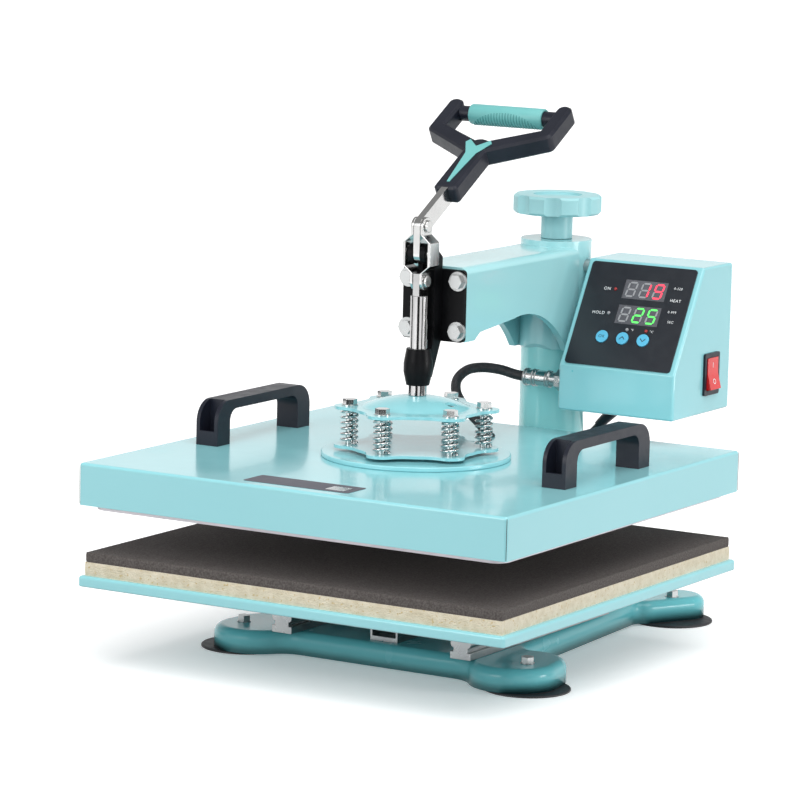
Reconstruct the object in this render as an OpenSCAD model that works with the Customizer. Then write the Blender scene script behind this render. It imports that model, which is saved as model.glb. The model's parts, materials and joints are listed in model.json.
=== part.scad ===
/* [Base] */
// Thickness of the rubber feet
foot_h = 2; // [1.5:0.25:6]
// Radius of the rubber feet
foot_r = 35.5; // [28:0.5:38]
// How far the front feet lie outside the middles of their lobes
foot_out = 13; // [6:0.5:16]
// Height of the base casting
casting_h = 18.8; // [16:0.2:30]
// Radius of the front lobes of the casting
lobe_r = 36.5; // [30:0.5:42]
// Radius of the back lobes of the casting
back_lobe_r = 23; // [20:0.5:30]
// Sideways distance of the front lobes from the middle
front_lobe_x = 122; // [110:1:140]
// Sideways distance of the back lobes from the middle
back_lobe_x = 101; // [85:1:115]
// Distance between the front and back lobes
lobe_run = 328; // [290:1:360]
// Distance of the front lobes before the platen's centre
lobe_lead = 44; // [20:1:60]
// Width of the casting at its front
waist_w = 212; // [190:1:226]
// Width of the casting at its back
waist_back_w = 173; // [150:1:184]
// Radius of the hollow necks in front of the casting
neck_r = 25; // [15:1:40]
// Radius of the hollow necks at the casting's sides
side_neck_r = 12; // [6:1:20]
// Wall of the hollow casting
casting_wall = 6; // [4:0.5:10]
// Diameter of the foot bolts
foot_bolt_d = 6; // [5:0.5:8]

/* [Rails] */
// Height from the casting to the lower plate
rail_stack = 46; // [38:0.5:60]
// Sideways distance of the rails from the middle
rail_x = 84.8; // [60:0.2:110]
// Width of a fixed rail
rail_w = 19; // [16:0.5:24]
// Height of a fixed rail
rail_h = 20; // [18:0.5:24]
// Height of a fixed rail's foot
rail_foot_h = 6; // [4:0.25:7]
// Height of the grooves beside a fixed rail
groove_h = 3.4; // [2.5:0.1:4.5]
// Depth of the grooves beside a fixed rail
groove_t = 3; // [2:0.25:5]
// Length of the rails
rail_len = 236; // [200:1:260]
// Distance from the platen's centre to the front end of the rails
rail_lead = 66.5; // [40:0.5:90]
// Width of the slider's upper flange
flange_w = 30; // [22:0.5:40]
// Thickness of the slider's upper flange
flange_t = 4; // [2:0.5:6]
// Width of the centre channel
channel_w = 26; // [20:0.5:36]
// Height of the centre channel
channel_h = 20; // [14:0.5:28]
// Wall of the centre channel
channel_wall = 2; // [1:0.25:4]
// How far the sliders start behind the front of the rails
slider_lag = 60; // [30:1:80]

/* [Platens] */
// Side of the square upper cover
cover_side = 395; // [320:1:440]
// Height of the upper cover
cover_h = 34.5; // [28:0.5:45]
// Sheet of the upper cover
cover_wall = 2; // [1:0.25:3]
// Edge radius of the cover and the lower plate
sheet_edge_r = 2.5; // [1:0.25:4]
// How far the heating plate lies inside the cover's edge
heater_inset = 7.5; // [5:0.25:12]
// Thickness of the heating plate
heater_t = 12; // [8:0.5:18]
// How far the heating plate shows under the cover
heater_lip = 4; // [2:0.25:8]
// Corner radius of the heating plate
heater_corner_r = 12; // [4:0.5:24]
// Gap between heating plate and pad with the press open
open_gap = 35; // [30:0.5:40]
// Thickness of the lower plate
lower_h = 9; // [6:0.5:14]
// How far the felt lies inside the lower plate's edge
felt_inset = 3.75; // [2:0.25:8]
// Thickness of the felt pad
felt_t = 11; // [6:0.5:14]
// How far the silicone pad lies inside the felt's edge
pad_inset = 0.75; // [0.25:0.25:4]
// Thickness of the silicone pad
pad_t = 8; // [5:0.5:12]

/* [Sprung spider] */
// Radius of the mounting disc on the cover
disc_r = 78; // [70:0.5:90]
// Thickness of the mounting disc
disc_t = 4; // [3:0.25:6]
// Height of the boss on the mounting disc
boss_h = 2.5; // [1:0.25:5]
// Radius of the boss on the mounting disc
boss_r = 42; // [30:0.5:46]
// Sheet of the two spiders
spider_t = 2.5; // [1.5:0.25:4]
// Radius of the bolt circle
bolt_circle_r = 55; // [48:0.5:62]
// Radius of the lobes round the bolts
spider_lobe_r = 12.5; // [11:0.25:14]
// Height of the upper spider's dome
dome_h = 10; // [6:0.5:14]
// Free length between the spiders
spring_h = 29.5; // [26:0.5:40]
// Outer diameter of the springs
spring_d = 15; // [13:0.25:17]
// Wire of the springs
wire_d = 2.2; // [1.4:0.1:2.6]
// Curls of a spring
spring_turns = 6; // [4:1:7]
// Diameter of the spring bolts
spring_bolt_d = 6; // [4:0.5:8]

/* [Plunger and toggle] */
// Diameter of the plunger
plunger_d = 15; // [12:0.25:18]
// Height of the lever's fulcrum over the cover
pivot_rise = 167.5; // [160:0.5:180]
// Distance from the fulcrum to the rivet above it
throw = 22.5; // [20:0.25:24]
// Thickness of the link plates
link_t = 2.5; // [1.5:0.25:3.5]
// Depth of the link plates
link_w = 15; // [13:0.5:17]
// Thickness of the lever bar
lever_t = 6; // [4:0.5:8]
// Width of the lever bar
lever_w = 15; // [12:0.5:17]
// Rise of the lever with the press open
lever_tilt = 30; // [15:1:45]
// Diameter of the fulcrum pin
fulcrum_d = 8; // [6:0.5:10]
// Diameter of the rivets
rivet_d = 6; // [4:0.5:7]
// Thickness of a bracket ear
ear_t = 4.6; // [3:0.2:5.5]
// How far the bracket's flange reaches past the arm's sides
bracket_over = 0.5; // [0:0.25:4]
// Thickness of the bracket's flange
bracket_t = 4; // [3:0.25:6]
// Height of the bracket's flange
bracket_h = 59.5; // [50:0.5:66]
// Diameter of the bracket bolts
bracket_bolt_d = 6; // [5:0.5:7]

/* [Handle] */
// Distance along the lever to the start of the handle
handle_start = 44; // [36:1:60]
// Distance along the lever to the fork
fork_at = 106; // [90:1:120]
// Distance along the lever to the bend of the arms
bend_at = 130; // [122:1:140]
// Distance along the lever to the ends of the arms
tip_at = 165; // [155:1:180]
// Sideways distance of the arms from the middle
yoke_x = 52; // [40:0.5:60]
// Width of the handle's stem
stem_w = 22; // [18:0.5:28]
// Width of the handle's arms
yoke_w = 14; // [10:0.5:18]
// Thickness of the handle
handle_t = 16; // [12:0.5:20]
// Chamfer of the handle
handle_edge = 2; // [0.5:0.25:3]
// Diameter of the cross bar
bar_d = 13; // [9:0.5:13.5]
// Diameter of the grip
grip_d = 17.5; // [15:0.25:24]
// Length of the grip
grip_len = 70; // [50:1:84]
// Thickness of the inlay
inlay_t = 0.8; // [0.4:0.1:1.5]

/* [Column and arm] */
// Distance of the column behind the platen's centre
column_y = 229.5; // [222:0.5:245]
// Diameter of the column
column_d = 56; // [46:0.5:60]
// Wall of the column tube
column_wall = 5; // [3:0.25:8]
// Wall of the sleeve round the column
sleeve_wall = 2.5; // [2:0.25:5]
// Height of the arm's front foot over the cover
arm_rise = 94; // [88:0.5:104]
// Height of the arm at its front
arm_h = 61.5; // [56:0.5:70]
// Width of the arm
arm_w = 57; // [50:0.5:62]
// Wall of the arm
arm_wall = 6; // [4:0.5:8]
// Rounding of the arm's top edges
arm_edge_r = 6; // [2:0.5:8]
// Radius of the arch under the arm
arch_r = 94; // [80:1:110]
// Height of the sleeve's cap
cap_t = 8; // [5:0.5:12]
// Diameter of the pressure screw's thread
screw_d = 16; // [12:0.5:20]
// Diameter of the pressure knob
knob_d = 76; // [60:0.5:90]
// Height of the knob's rim
knob_h = 16.3; // [12:0.1:24]
// Diameter of the knob's stem
knob_stem_d = 27; // [22:0.5:34]
// Lobes of the knob
knob_lobes = 8; // [6:1:10]
// Height of the knob's stem under its rim
knob_neck = 21.4; // [16:0.2:28]
// Length of the pressure screw under its nut
screw_tail = 28; // [20:1:40]

/* [Control box] */
// Width of the control box
box_w = 110; // [106:1:130]
// Height of the control box
box_h = 125; // [118:1:140]
// Height of the box over the cover
box_rise = 22; // [20:0.5:30]
// Distance of the box from the arm's middle
box_x = 37; // [36:0.5:42]
// Length of the box at its foot
box_len = 104; // [100:0.5:112]
// Height of the upright part of the front
box_brow = 38; // [34:0.5:44]
// How far the sloping face leans back
box_lean = 50; // [44:0.5:56]
// Edge radius of the box
box_edge_r = 2.5; // [1.5:0.25:4]
// Wall of the box
box_wall = 2.5; // [1.5:0.25:3.5]
// Width of the control panel
panel_w = 100; // [96:0.5:102]
// Height of the control panel
panel_h = 95; // [90:0.5:97]
// Thickness of the control panel
panel_t = 1.2; // [0.6:0.1:2]
// Width of a display
display_w = 40.4; // [34:0.2:48]
// Height of a display
display_h = 17.6; // [14:0.2:19]
// Diameter of the push buttons
button_d = 11.2; // [9:0.2:12.4]
// Diameter of the indicator lights
led_d = 3; // [2:0.25:4]
// Height of the rocker switch
rocker_h = 27; // [22:0.5:30]
// Width of the rocker switch
rocker_w = 19; // [14:0.5:22]

/* [Side handles] */
// Length of a side handle
side_len = 143; // [120:1:160]
// Height of a side handle
side_h = 37; // [30:0.5:45]
// Width of a side handle
side_w = 21; // [17:0.5:26]
// Depth of a side handle's feet
side_foot = 19; // [17:0.5:24]
// Thickness of a side handle's bridge
side_bridge = 8; // [6:0.5:11]
// Sideways distance of the side handles
side_x = 163.5; // [140:0.5:172]

/* [Cords] */
// Diameter of the power cord
cord_d = 6; // [4:0.25:7]
// Diameter of the heater cable
cable_d = 6; // [4:0.25:8]
// Loops in each layer of the coiled cord
coil_loops = 3; // [2:1:4]
// Gap between the loops of the coil
coil_gap = 0.8; // [0.6:0.1:2]
// Middle radius of the coil
coil_r = 33; // [28:0.5:40]

/* [Fits] */
// Radial clearance of pins and shafts
fit = 0.05; // [0.02:0.01:0.1]
// Clearance of sliding faces
slack = 0.3; // [0.3:0.05:0.6]

/* [Hidden] */
$fn = 48;

front_lobe_y = -lobe_lead;
back_lobe_y = lobe_run - lobe_lead;
base_top = foot_h + casting_h;
casting_front = front_lobe_y - lobe_r / 3;
casting_back = back_lobe_y + 3;
front_foot = [front_lobe_x + foot_out, front_lobe_y - 1.5];
back_foot = [back_lobe_x + 2.5, back_lobe_y - 16];
// shift that puts the origin under the middle of the whole press
frame_y = (back_lobe_y + back_lobe_r - cover_side / 2) / 2;

rail_front = -rail_lead;
lower_z = base_top + rail_stack;
felt_z = lower_z + lower_h;
pad_z = felt_z + felt_t;
pad_top = pad_z + pad_t;
heater_z = pad_top + open_gap;
cover_z = heater_z + heater_lip;
cover_top = cover_z + cover_h;
felt_side = cover_side - 2 * felt_inset;
pad_side = felt_side - 2 * pad_inset;
heater_side = cover_side - 2 * heater_inset;
inner_side = cover_side - 2 * cover_wall;

disc_top = cover_top + disc_t;
spider_low = disc_top + boss_h;
spring_low = spider_low + spider_t;
spider_high = spring_low + spring_h;
rim_top = spider_high + spider_t;
dome_base_r = bolt_circle_r - 9;
dome_R = (dome_base_r * dome_base_r + dome_h * dome_h) / (2 * dome_h);
dome_top = rim_top + dome_h;
// radius of the hollows beside the lobes
spider_neck_r = 2 * spider_lobe_r;
head_w = spring_bolt_d * 1.9;

pivot_z = cover_top + pivot_rise;
rivet_z = pivot_z + throw;
crank_z = pivot_z - throw;
eye_r = link_w / 2;
tongue_top = crank_z + eye_r - 1;
rod_top = crank_z - 12;
link_in = lever_t / 2 + 0.2;
ear_in = lever_t / 2 + 0.4;
ear_out = ear_in + ear_t;
link_out = ear_out + 2.5;
web_y = eye_r + 2;
bracket_y = 22;
bracket_w = arm_w + 2 * bracket_over;
bracket_bolt_x = arm_w / 2 - 0.85 * bracket_bolt_d;
barrel_top = rod_top - 43.5;
barrel_low = barrel_top - 30;

arm_front = bracket_y + bracket_t;
arm_foot_z = cover_top + arm_rise;
arm_top = arm_foot_z + arm_h;
arm_under = arm_foot_z + 13;
skirt_z = arm_foot_z - 26.5;
arch_y = column_y - 104;
sleeve_r = column_d / 2 + fit + sleeve_wall;
sleeve_top = arm_top + 5;
cap_z = sleeve_top - cap_t;
collar_z = cap_z - 6;
shoulder_z = collar_z - 5;
column_top = shoulder_z - 6;
nut_z = column_top - 25;
neck_d = screw_d + 4;

box_z = cover_top + box_rise;
box_top = box_z + box_h;
box_back_y = column_y + 46.5;
box_front = box_back_y - box_len;
box_right = box_x + box_w;
brow_z = box_z + box_brow;
slope_len = sqrt(box_lean * box_lean + (box_top - brow_z) * (box_top - brow_z));
slope_deg = atan2(box_top - brow_z, box_lean);
panel_x = box_x + (box_w - panel_w) / 2;
panel_v = (slope_len - panel_h) / 2;
board_w = -6;
button_v = 0.28 * panel_h;
button_us = [0.285 * panel_w, 0.48 * panel_w, 0.675 * panel_w];
led_uvs = [[0.285 * panel_w, 0.745 * panel_h], [0.285 * panel_w, 0.51 * panel_h],
  [0.5 * panel_w, 0.367 * panel_h], [0.68 * panel_w, 0.37 * panel_h]];
display_u = 0.36 * panel_w;
temp_v = 0.665 * panel_h;
time_v = 0.42 * panel_h;
rocker_y = box_back_y - 37;
rocker_z = box_z + 33.5;
rocker_deg = 7.5;
socket_y = box_front + 12;
socket_z = box_z + 23;
gland_x = box_x + 15;
gland_y = box_back_y - 16;
// heights of the spacers between the sleeve and the box
spacer_zs = [box_top - 8.5, box_z + box_h / 2 + 1];

grip_at = tip_at - 4;
cable_start = [box_x - 38, socket_y, socket_z];
cable_end = [-6, 126, cover_top];
// route of the heater cable, from the plug over to the cover
cable_route = [cable_start, cable_start + [-11, 0, 1], cable_start + [-23, -3, 4],
  cable_start + [-36, -10, 5.5], cable_start + [-45, -21, 4], cable_start + [-48, -33, -2.5],
  cable_start + [-44, -43, -10], cable_end + [-32, 10, 27], cable_end + [-20, 5, 18.5],
  cable_end + [-7, 1, 10.5], cable_end + [0, 0, 4]];
coil_x = -20;
coil_y = column_y + 198;
coil_pitch = cord_d + coil_gap;
coil_out_r = coil_r + coil_loops * coil_pitch / 2;
coil_low = 1.8 + cord_d / 2;
relief_end = [gland_x - 24, gland_y + 5, box_z - 26];
relief_axis = unit(relief_end - [gland_x, gland_y, box_z - 4]);
coil_start = [coil_x + coil_out_r, coil_y - cord_d, coil_low];
// route of the power cord, from the gland down to the coil
cord_route = [relief_end + 2 * relief_axis, relief_end + [-10, 2.5, -11], [8, column_y + 55, 138],
  [3, column_y + 76, 108], [2, column_y + 100, 76], [5, column_y + 125, 49], [13, column_y + 150, 24],
  [21, column_y + 172, 8], coil_start - [0, cord_d, 0], coil_start - [0, 2, 0]];

function unit(v) = v / norm(v);
function spline_at(a, b, c, d, t) = 0.5 * (2 * b + (c - a) * t + (2 * a - 5 * b + 4 * c - d) * t * t
  + (3 * b - a - 3 * c + d) * t * t * t);
// smooth path through the route points
function smooth_path(p, n) = concat([for (i = [0:len(p) - 2], k = [0:n - 1])
  spline_at(i > 0 ? p[i - 1] : 2 * p[0] - p[1], p[i], p[i + 1],
    i + 2 < len(p) ? p[i + 2] : 2 * p[i + 1] - p[i], k / n)], [p[len(p) - 1]]);
function tangent(p, i) = unit(p[min(i + 1, len(p) - 1)] - p[max(i - 1, 0)]);
function flat_to(n, t) = unit(n - (n * t) * t);
function first_normal(t) = flat_to(abs(t[2]) < 0.9 ? [0, 0, 1] : [1, 0, 0], t);
function normals(p) = [for (i = 0, n = first_normal(tangent(p, 0)); i < len(p); i = i + 1,
  n = i < len(p) ? flat_to(n, tangent(p, i)) : n) n];
function ring_points(p, r, sides) = let (ns = normals(p)) [for (i = [0:len(p) - 1], j = [0:sides - 1])
  let (b = cross(tangent(p, i), ns[i])) p[i] + r * (cos(360 * j / sides) * ns[i]
    + sin(360 * j / sides) * b)];
function ring_faces(n, sides) = concat(
  [for (i = [0:n - 2], j = [0:sides - 1]) let (k = (j + 1) % sides)
    [i * sides + j, (i + 1) * sides + k, i * sides + k]],
  [for (i = [0:n - 2], j = [0:sides - 1]) let (k = (j + 1) % sides)
    [i * sides + j, (i + 1) * sides + j, (i + 1) * sides + k]],
  [for (j = [1:sides - 2]) [0, j, j + 1]],
  [for (j = [1:sides - 2]) [(n - 1) * sides, (n - 1) * sides + j + 1, (n - 1) * sides + j]]);

spring_mid_r = (spring_d - wire_d) / 2;
spring_rings = spring_turns * 8;
// path of one spring
spring_path = [for (i = [0:spring_rings]) [spring_mid_r * cos(45 * i), spring_mid_r * sin(45 * i),
  wire_d / 2 + fit + (spring_h - wire_d - 2 * fit) * i / spring_rings]];
coil_steps = 24 * coil_loops;
// path of the coil: in on the lower layer, up, out on the upper layer
coil_turns = concat(
  [for (i = [0:coil_steps]) [15 * i, coil_out_r - coil_pitch * i / 24, coil_low]],
  [for (i = [1:12]) [15 * (coil_steps + i), coil_out_r - coil_pitch * coil_loops,
    coil_low + coil_pitch * (1 - cos(15 * i)) / 2]],
  [for (i = [1:coil_steps - 12]) [15 * (coil_steps + 12 + i),
    coil_out_r - coil_pitch * (coil_loops - i / 24), coil_low + coil_pitch]]);
coil_arc = [for (c = coil_turns) [coil_x + c[1] * cos(c[0]), coil_y + c[1] * sin(c[0]), c[2]]];
coil_exit = coil_arc[len(coil_arc) - 1];
coil_path = concat([coil_start], coil_arc, [coil_exit + [0, cord_d, 0], coil_exit + [0, 30, 0]]);

module tube(path, d, sides) {
  polyhedron(ring_points(path, d / 2, sides), ring_faces(len(path), sides), convexity = 10);
}

module place() {
  translate([0, -frame_y, 0]) children();
}

module round_rect(w, l, r) {
  square([w - 2 * r, l], center = true);
  square([w, l - 2 * r], center = true);
  for (x = [-1, 1], y = [-1, 1]) translate([x * (w / 2 - r), y * (l / 2 - r)]) circle(r);
}

// plate with a rounded upper edge
module soft_plate(w, l, h, r) {
  linear_extrude(h - r) round_rect(w, l, r);
  linear_extrude(h) square([w - 2 * r, l - 2 * r], center = true);
  for (s = [-1, 1]) {
    translate([0, s * (l / 2 - r), h - r]) rotate([0, 90, 0]) cylinder(h = w - 2 * r, r = r, center = true);
    translate([s * (w / 2 - r), 0, h - r]) rotate([90, 0, 0]) cylinder(h = l - 2 * r, r = r, center = true);
    for (q = [-1, 1]) translate([s * (w / 2 - r), q * (l / 2 - r), h - r]) sphere(r);
  }
}

module hex_head(w, h) {
  cylinder(h = h, d = w / cos(30), $fn = 6);
}

// extrudes a side view, drawn back and up, evenly about the middle
module across(w) {
  rotate([90, 0, 90]) linear_extrude(w, center = true) children();
}

module at_feet() {
  for (s = [-1, 1], p = [front_foot, back_foot]) translate([s * p[0], p[1], 0]) children();
}

module at_bolts() {
  for (k = [0:5]) rotate(60 * k - 90) translate([bolt_circle_r, 0, 0]) children();
}

module on_panel() {
  translate([panel_x, box_front, brow_z]) rotate([slope_deg, 0, 0]) translate([0, panel_v, 0]) children();
}

module along_lever() {
  translate([0, 0, rivet_z]) rotate([lever_tilt, 0, 0]) children();
}

module front_outline() {
  offset(r = -neck_r, $fn = 144) offset(delta = neck_r) {
    translate([-front_lobe_x, casting_front]) square([2 * front_lobe_x, lobe_r]);
    for (s = [-1, 1]) hull() {
      translate([s * front_lobe_x, front_lobe_y]) circle(lobe_r, $fn = 96);
      translate([s * front_lobe_x, front_lobe_y + 17]) circle(lobe_r - 2.5, $fn = 96);
    }
  }
}

module base_outline() {
  offset(r = -side_neck_r, $fn = 96) offset(delta = side_neck_r) {
    front_outline();
    polygon([[-waist_w / 2, casting_front], [waist_w / 2, casting_front], [waist_back_w / 2, casting_back],
      [-waist_back_w / 2, casting_back]]);
    for (s = [-1, 1]) hull() {
      translate([s * back_lobe_x, back_lobe_y]) circle(back_lobe_r, $fn = 72);
      translate([s * (back_lobe_x - 19.5), back_lobe_y - 35]) circle(back_lobe_r, $fn = 72);
    }
  }
}

module base_casting() {
  color("mediumturquoise") place() translate([0, 0, foot_h]) difference() {
    linear_extrude(casting_h) base_outline();
    translate([0, (casting_front + casting_back) / 2, -1]) linear_extrude(casting_h + 1 - casting_wall)
      round_rect(waist_back_w - 4 * casting_wall, casting_back - casting_front - 6 * casting_wall,
        2 * casting_wall);
    translate([0, 0, -1]) at_feet() cylinder(h = casting_h + 2, d = foot_bolt_d + 2 * fit);
  }
}

module rubber_feet() {
  color("dimgray") place() at_feet() difference() {
    union() {
      cylinder(h = foot_h * 2 / 3, r = foot_r);
      translate([0, 0, foot_h * 2 / 3]) cylinder(h = foot_h / 3, r1 = foot_r, r2 = foot_r - foot_h / 2);
    }
    translate([0, 0, foot_h / 2]) cylinder(h = foot_h, d = foot_bolt_d + 2 * fit);
  }
}

module foot_bolts() {
  color("silver") place() at_feet() {
    translate([0, 0, foot_h / 2]) cylinder(h = base_top - foot_h / 2, d = foot_bolt_d);
    translate([0, 0, base_top]) cylinder(h = 0.8, d = foot_bolt_d * 1.9);
    translate([0, 0, base_top + 0.8]) hex_head(foot_bolt_d * 1.6, foot_bolt_d * 0.8);
  }
}

module column_post() {
  color("silver") place() translate([0, column_y, base_top]) difference() {
    union() {
      cylinder(h = column_top - base_top, d = column_d);
      cylinder(h = 6, d = column_d + 24);
    }
    translate([0, 0, 10]) cylinder(h = column_top, d = column_d - 2 * column_wall);
  }
}

module column_nut() {
  color("goldenrod") place() translate([0, column_y, nut_z]) difference() {
    cylinder(h = column_top - nut_z, d = column_d - 2 * column_wall - 2 * fit);
    translate([0, 0, -1]) cylinder(h = column_top, d = screw_d + 4 * fit);
  }
}

// the rail's foot, waist and rounded head
module rail(s) {
  head_z = rail_foot_h + groove_h;
  translate([s * rail_x, rail_front + rail_len / 2, base_top]) rotate([90, 0, 0])
    linear_extrude(rail_len, center = true) {
      translate([-rail_w / 2, 0]) square([rail_w, rail_foot_h]);
      translate([-rail_w / 2 + groove_t, 0]) square([rail_w - 2 * groove_t, rail_h - 1]);
      translate([0, (head_z + rail_h) / 2]) round_rect(rail_w - 0.5, rail_h - head_z, 3);
    }
}

// the slider's block round the rail's head, its web and its flange
module slider(s) {
  head_z = rail_foot_h + groove_h;
  waist = rail_w - 2 * groove_t + 2 * slack;
  block_z = rail_h + 4;
  translate([s * rail_x, rail_front + rail_len, base_top]) rotate([90, 0, 0])
    linear_extrude(rail_len - slider_lag) {
      difference() {
        translate([-flange_w / 2, rail_foot_h + slack]) square([flange_w, block_z - rail_foot_h - slack]);
        translate([-rail_w / 2 - slack, head_z - slack])
          square([rail_w + 2 * slack, rail_h - head_z + 2 * slack]);
        translate([-waist / 2, 0]) square([waist, head_z]);
      }
      translate([-flange_w / 4, block_z - 1]) square([flange_w / 2, rail_stack - block_z]);
      translate([-flange_w / 2, rail_stack - flange_t]) square([flange_w, flange_t]);
    }
}

module rail_left() {
  color("silver") place() rail(-1);
}

module rail_right() {
  color("silver") place() rail(1);
}

module slider_left() {
  color("lightgray") place() slider(-1);
}

module slider_right() {
  color("lightgray") place() slider(1);
}

module center_channel() {
  color("gainsboro") place() translate([0, rail_front + 22, base_top]) difference() {
    translate([-channel_w / 2, 0, 0]) cube([channel_w, rail_len - 22, channel_h]);
    translate([-channel_w / 2 + channel_wall, -1, 4])
      cube([channel_w - 2 * channel_wall, rail_len, channel_h]);
  }
}

module guide_block() {
  color("dimgray") place() translate([0, rail_front + rail_len - 30, base_top + 4 + slack]) {
    translate([-channel_w / 2 + channel_wall + slack, 0, 0])
      cube([channel_w - 2 * channel_wall - 2 * slack, 30, rail_stack - 4 - slack]);
  }
}

module lower_plate() {
  color("turquoise") place() translate([0, 0, lower_z])
    soft_plate(cover_side, cover_side, lower_h, sheet_edge_r);
}

module felt_pad() {
  color("cornsilk") place() translate([0, 0, felt_z]) linear_extrude(felt_t)
    round_rect(felt_side, felt_side, 2);
}

module silicone_pad() {
  color("dimgray") place() translate([0, 0, pad_z]) linear_extrude(pad_t) round_rect(pad_side, pad_side, 3);
}

module lift_collar() {
  color("silver") place() translate([0, column_y, collar_z]) difference() {
    cylinder(h = cap_z - collar_z, d = column_d - 1);
    translate([0, 0, -1]) cylinder(h = 20, d = neck_d + 2 * fit);
  }
}

module pressure_screw() {
  color("silver") place() translate([0, column_y, 0]) {
    translate([0, 0, nut_z - screw_tail]) cylinder(h = shoulder_z - nut_z + screw_tail, d = screw_d);
    translate([0, 0, shoulder_z]) cylinder(h = collar_z - shoulder_z, d = neck_d + 10);
    translate([0, 0, collar_z]) cylinder(h = sleeve_top + slack - collar_z, d = neck_d);
    translate([0, 0, sleeve_top + slack]) cylinder(h = knob_neck * 0.7, d = screw_d);
  }
}

module knob_outline() {
  difference() {
    circle(d = knob_d);
    for (k = [0:knob_lobes - 1]) rotate(360 / knob_lobes * (k + 0.5))
      translate([knob_d / 2 + knob_d * 0.13, 0]) circle(knob_d * 0.17);
  }
}

module pressure_knob() {
  rim_z = sleeve_top + slack + knob_neck;
  edge = knob_h / 8;
  color("black") place() translate([0, column_y, 0]) difference() {
    union() {
      translate([0, 0, sleeve_top + slack]) cylinder(h = knob_neck + knob_h / 2, d = knob_stem_d);
      translate([0, 0, rim_z]) intersection() {
        linear_extrude(knob_h) knob_outline();
        rotate_extrude() polygon([[0, 0], [knob_d / 2 - edge, 0], [knob_d / 2 + 0.1, edge],
          [knob_d / 2 + 0.1, knob_h - edge], [knob_d / 2 - edge, knob_h], [0, knob_h]]);
      }
    }
    translate([0, 0, sleeve_top - 1]) cylinder(h = knob_neck * 0.7 + 1 + slack, d = screw_d + 2 * fit);
    translate([0, 0, rim_z + knob_h - 2.5]) cylinder(h = 5, d = knob_d * 0.55);
  }
}

module arm_side() {
  ramp_y = arm_front + 16;
  difference() {
    translate([arm_front, skirt_z]) square([column_y - arm_front, arm_top - skirt_z]);
    polygon([[0, skirt_z - 1], [0, arm_foot_z], [ramp_y, arm_foot_z], [ramp_y + 9, arm_foot_z + 6],
      [arch_y, arm_under], [arch_y, skirt_z - 1]]);
    translate([arch_y, arm_under - arch_r]) circle(arch_r, $fn = 144);
  }
}

module arm_section() {
  translate([-arm_w / 2, skirt_z - 1]) square([arm_w, arm_top - arm_edge_r - skirt_z + 1]);
  translate([-arm_w / 2 + arm_edge_r, skirt_z]) square([arm_w - 2 * arm_edge_r, arm_top - skirt_z]);
  for (s = [-1, 1]) translate([s * (arm_w / 2 - arm_edge_r), arm_top - arm_edge_r]) circle(arm_edge_r);
}

module at_bracket_bolts() {
  for (s = [-1, 1], z = [9, bracket_h - 9])
    translate([s * bracket_bolt_x, bracket_y, arm_foot_z + z]) rotate([90, 0, 0]) children();
}

module swing_arm() {
  color("darkcyan") place() difference() {
    union() {
      difference() {
        intersection() {
          across(arm_w) arm_side();
          translate([0, column_y, 0]) rotate([90, 0, 0]) linear_extrude(column_y) arm_section();
        }
        translate([-arm_w / 2 + arm_wall, arm_front + arm_wall, skirt_z - 1])
          cube([arm_w - 2 * arm_wall, column_y, arm_top - arm_wall - skirt_z + 1]);
      }
      translate([0, column_y, skirt_z]) cylinder(h = sleeve_top - skirt_z, r = sleeve_r);
    }
    translate([0, column_y, skirt_z - 1]) cylinder(h = cap_z - skirt_z + 1, d = column_d + 2 * fit);
    translate([0, column_y, cap_z - 1]) cylinder(h = cap_t + 2, d = neck_d + 2 * slack);
    translate([0, arch_y, arm_under - arch_r]) rotate([0, 90, 0])
      cylinder(h = 2 * arm_w, r = arch_r, center = true, $fn = 144);
    at_bracket_bolts() translate([0, 0, -bracket_t - arm_wall - 6])
      cylinder(h = bracket_t + arm_wall + 6, d = bracket_bolt_d + 2 * fit);
  }
}

module bracket_ear() {
  translate([0, pivot_z]) circle(8.5);
  polygon([[0, pivot_z + 8.5], [web_y, pivot_z + 6], [bracket_y, pivot_z - 4], [bracket_y, arm_foot_z + 2],
    [web_y, arm_foot_z + 12], [web_y, pivot_z - 5], [0, pivot_z - 8.5]]);
}

module toggle_bracket() {
  color("black") place() difference() {
    union() {
      translate([0, bracket_y + bracket_t, arm_foot_z + bracket_h / 2]) rotate([90, 0, 0])
        linear_extrude(bracket_t) round_rect(bracket_w, bracket_h, 3);
      for (s = [-1, 1]) translate([s * (ear_in + ear_t / 2), 0, 0]) across(ear_t) bracket_ear();
      across(2 * ear_out) polygon([[web_y + 3, pivot_z - 8], [bracket_y, pivot_z - 8],
        [bracket_y, arm_foot_z], [9, barrel_low + 6], [7, barrel_low + 10], [7, barrel_top],
        [web_y, barrel_top + 4]]);
      rotate_extrude() polygon([[0, barrel_low], [9.5, barrel_low], [12, barrel_low + 11],
        [12, barrel_low + 18], [10, barrel_top], [0, barrel_top]]);
    }
    translate([0, 0, barrel_low - 1]) cylinder(h = barrel_top - barrel_low + 2, d = plunger_d + 2 * fit);
    translate([0, 0, pivot_z]) rotate([0, 90, 0])
      cylinder(h = bracket_w, d = fulcrum_d + 2 * fit, center = true);
    at_bracket_bolts() translate([0, 0, -bracket_t - 1])
      cylinder(h = bracket_t + 2, d = bracket_bolt_d + 2 * fit);
  }
}

module bracket_bolts() {
  color("silver") place() at_bracket_bolts() {
    translate([0, 0, -bracket_t - arm_wall - 5]) cylinder(h = bracket_t + arm_wall + 5, d = bracket_bolt_d);
    cylinder(h = bracket_bolt_d / 3, d = bracket_bolt_d * 2.7);
    translate([0, 0, bracket_bolt_d / 3]) hex_head(bracket_bolt_d * 1.8, bracket_bolt_d * 0.7);
  }
}

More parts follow.
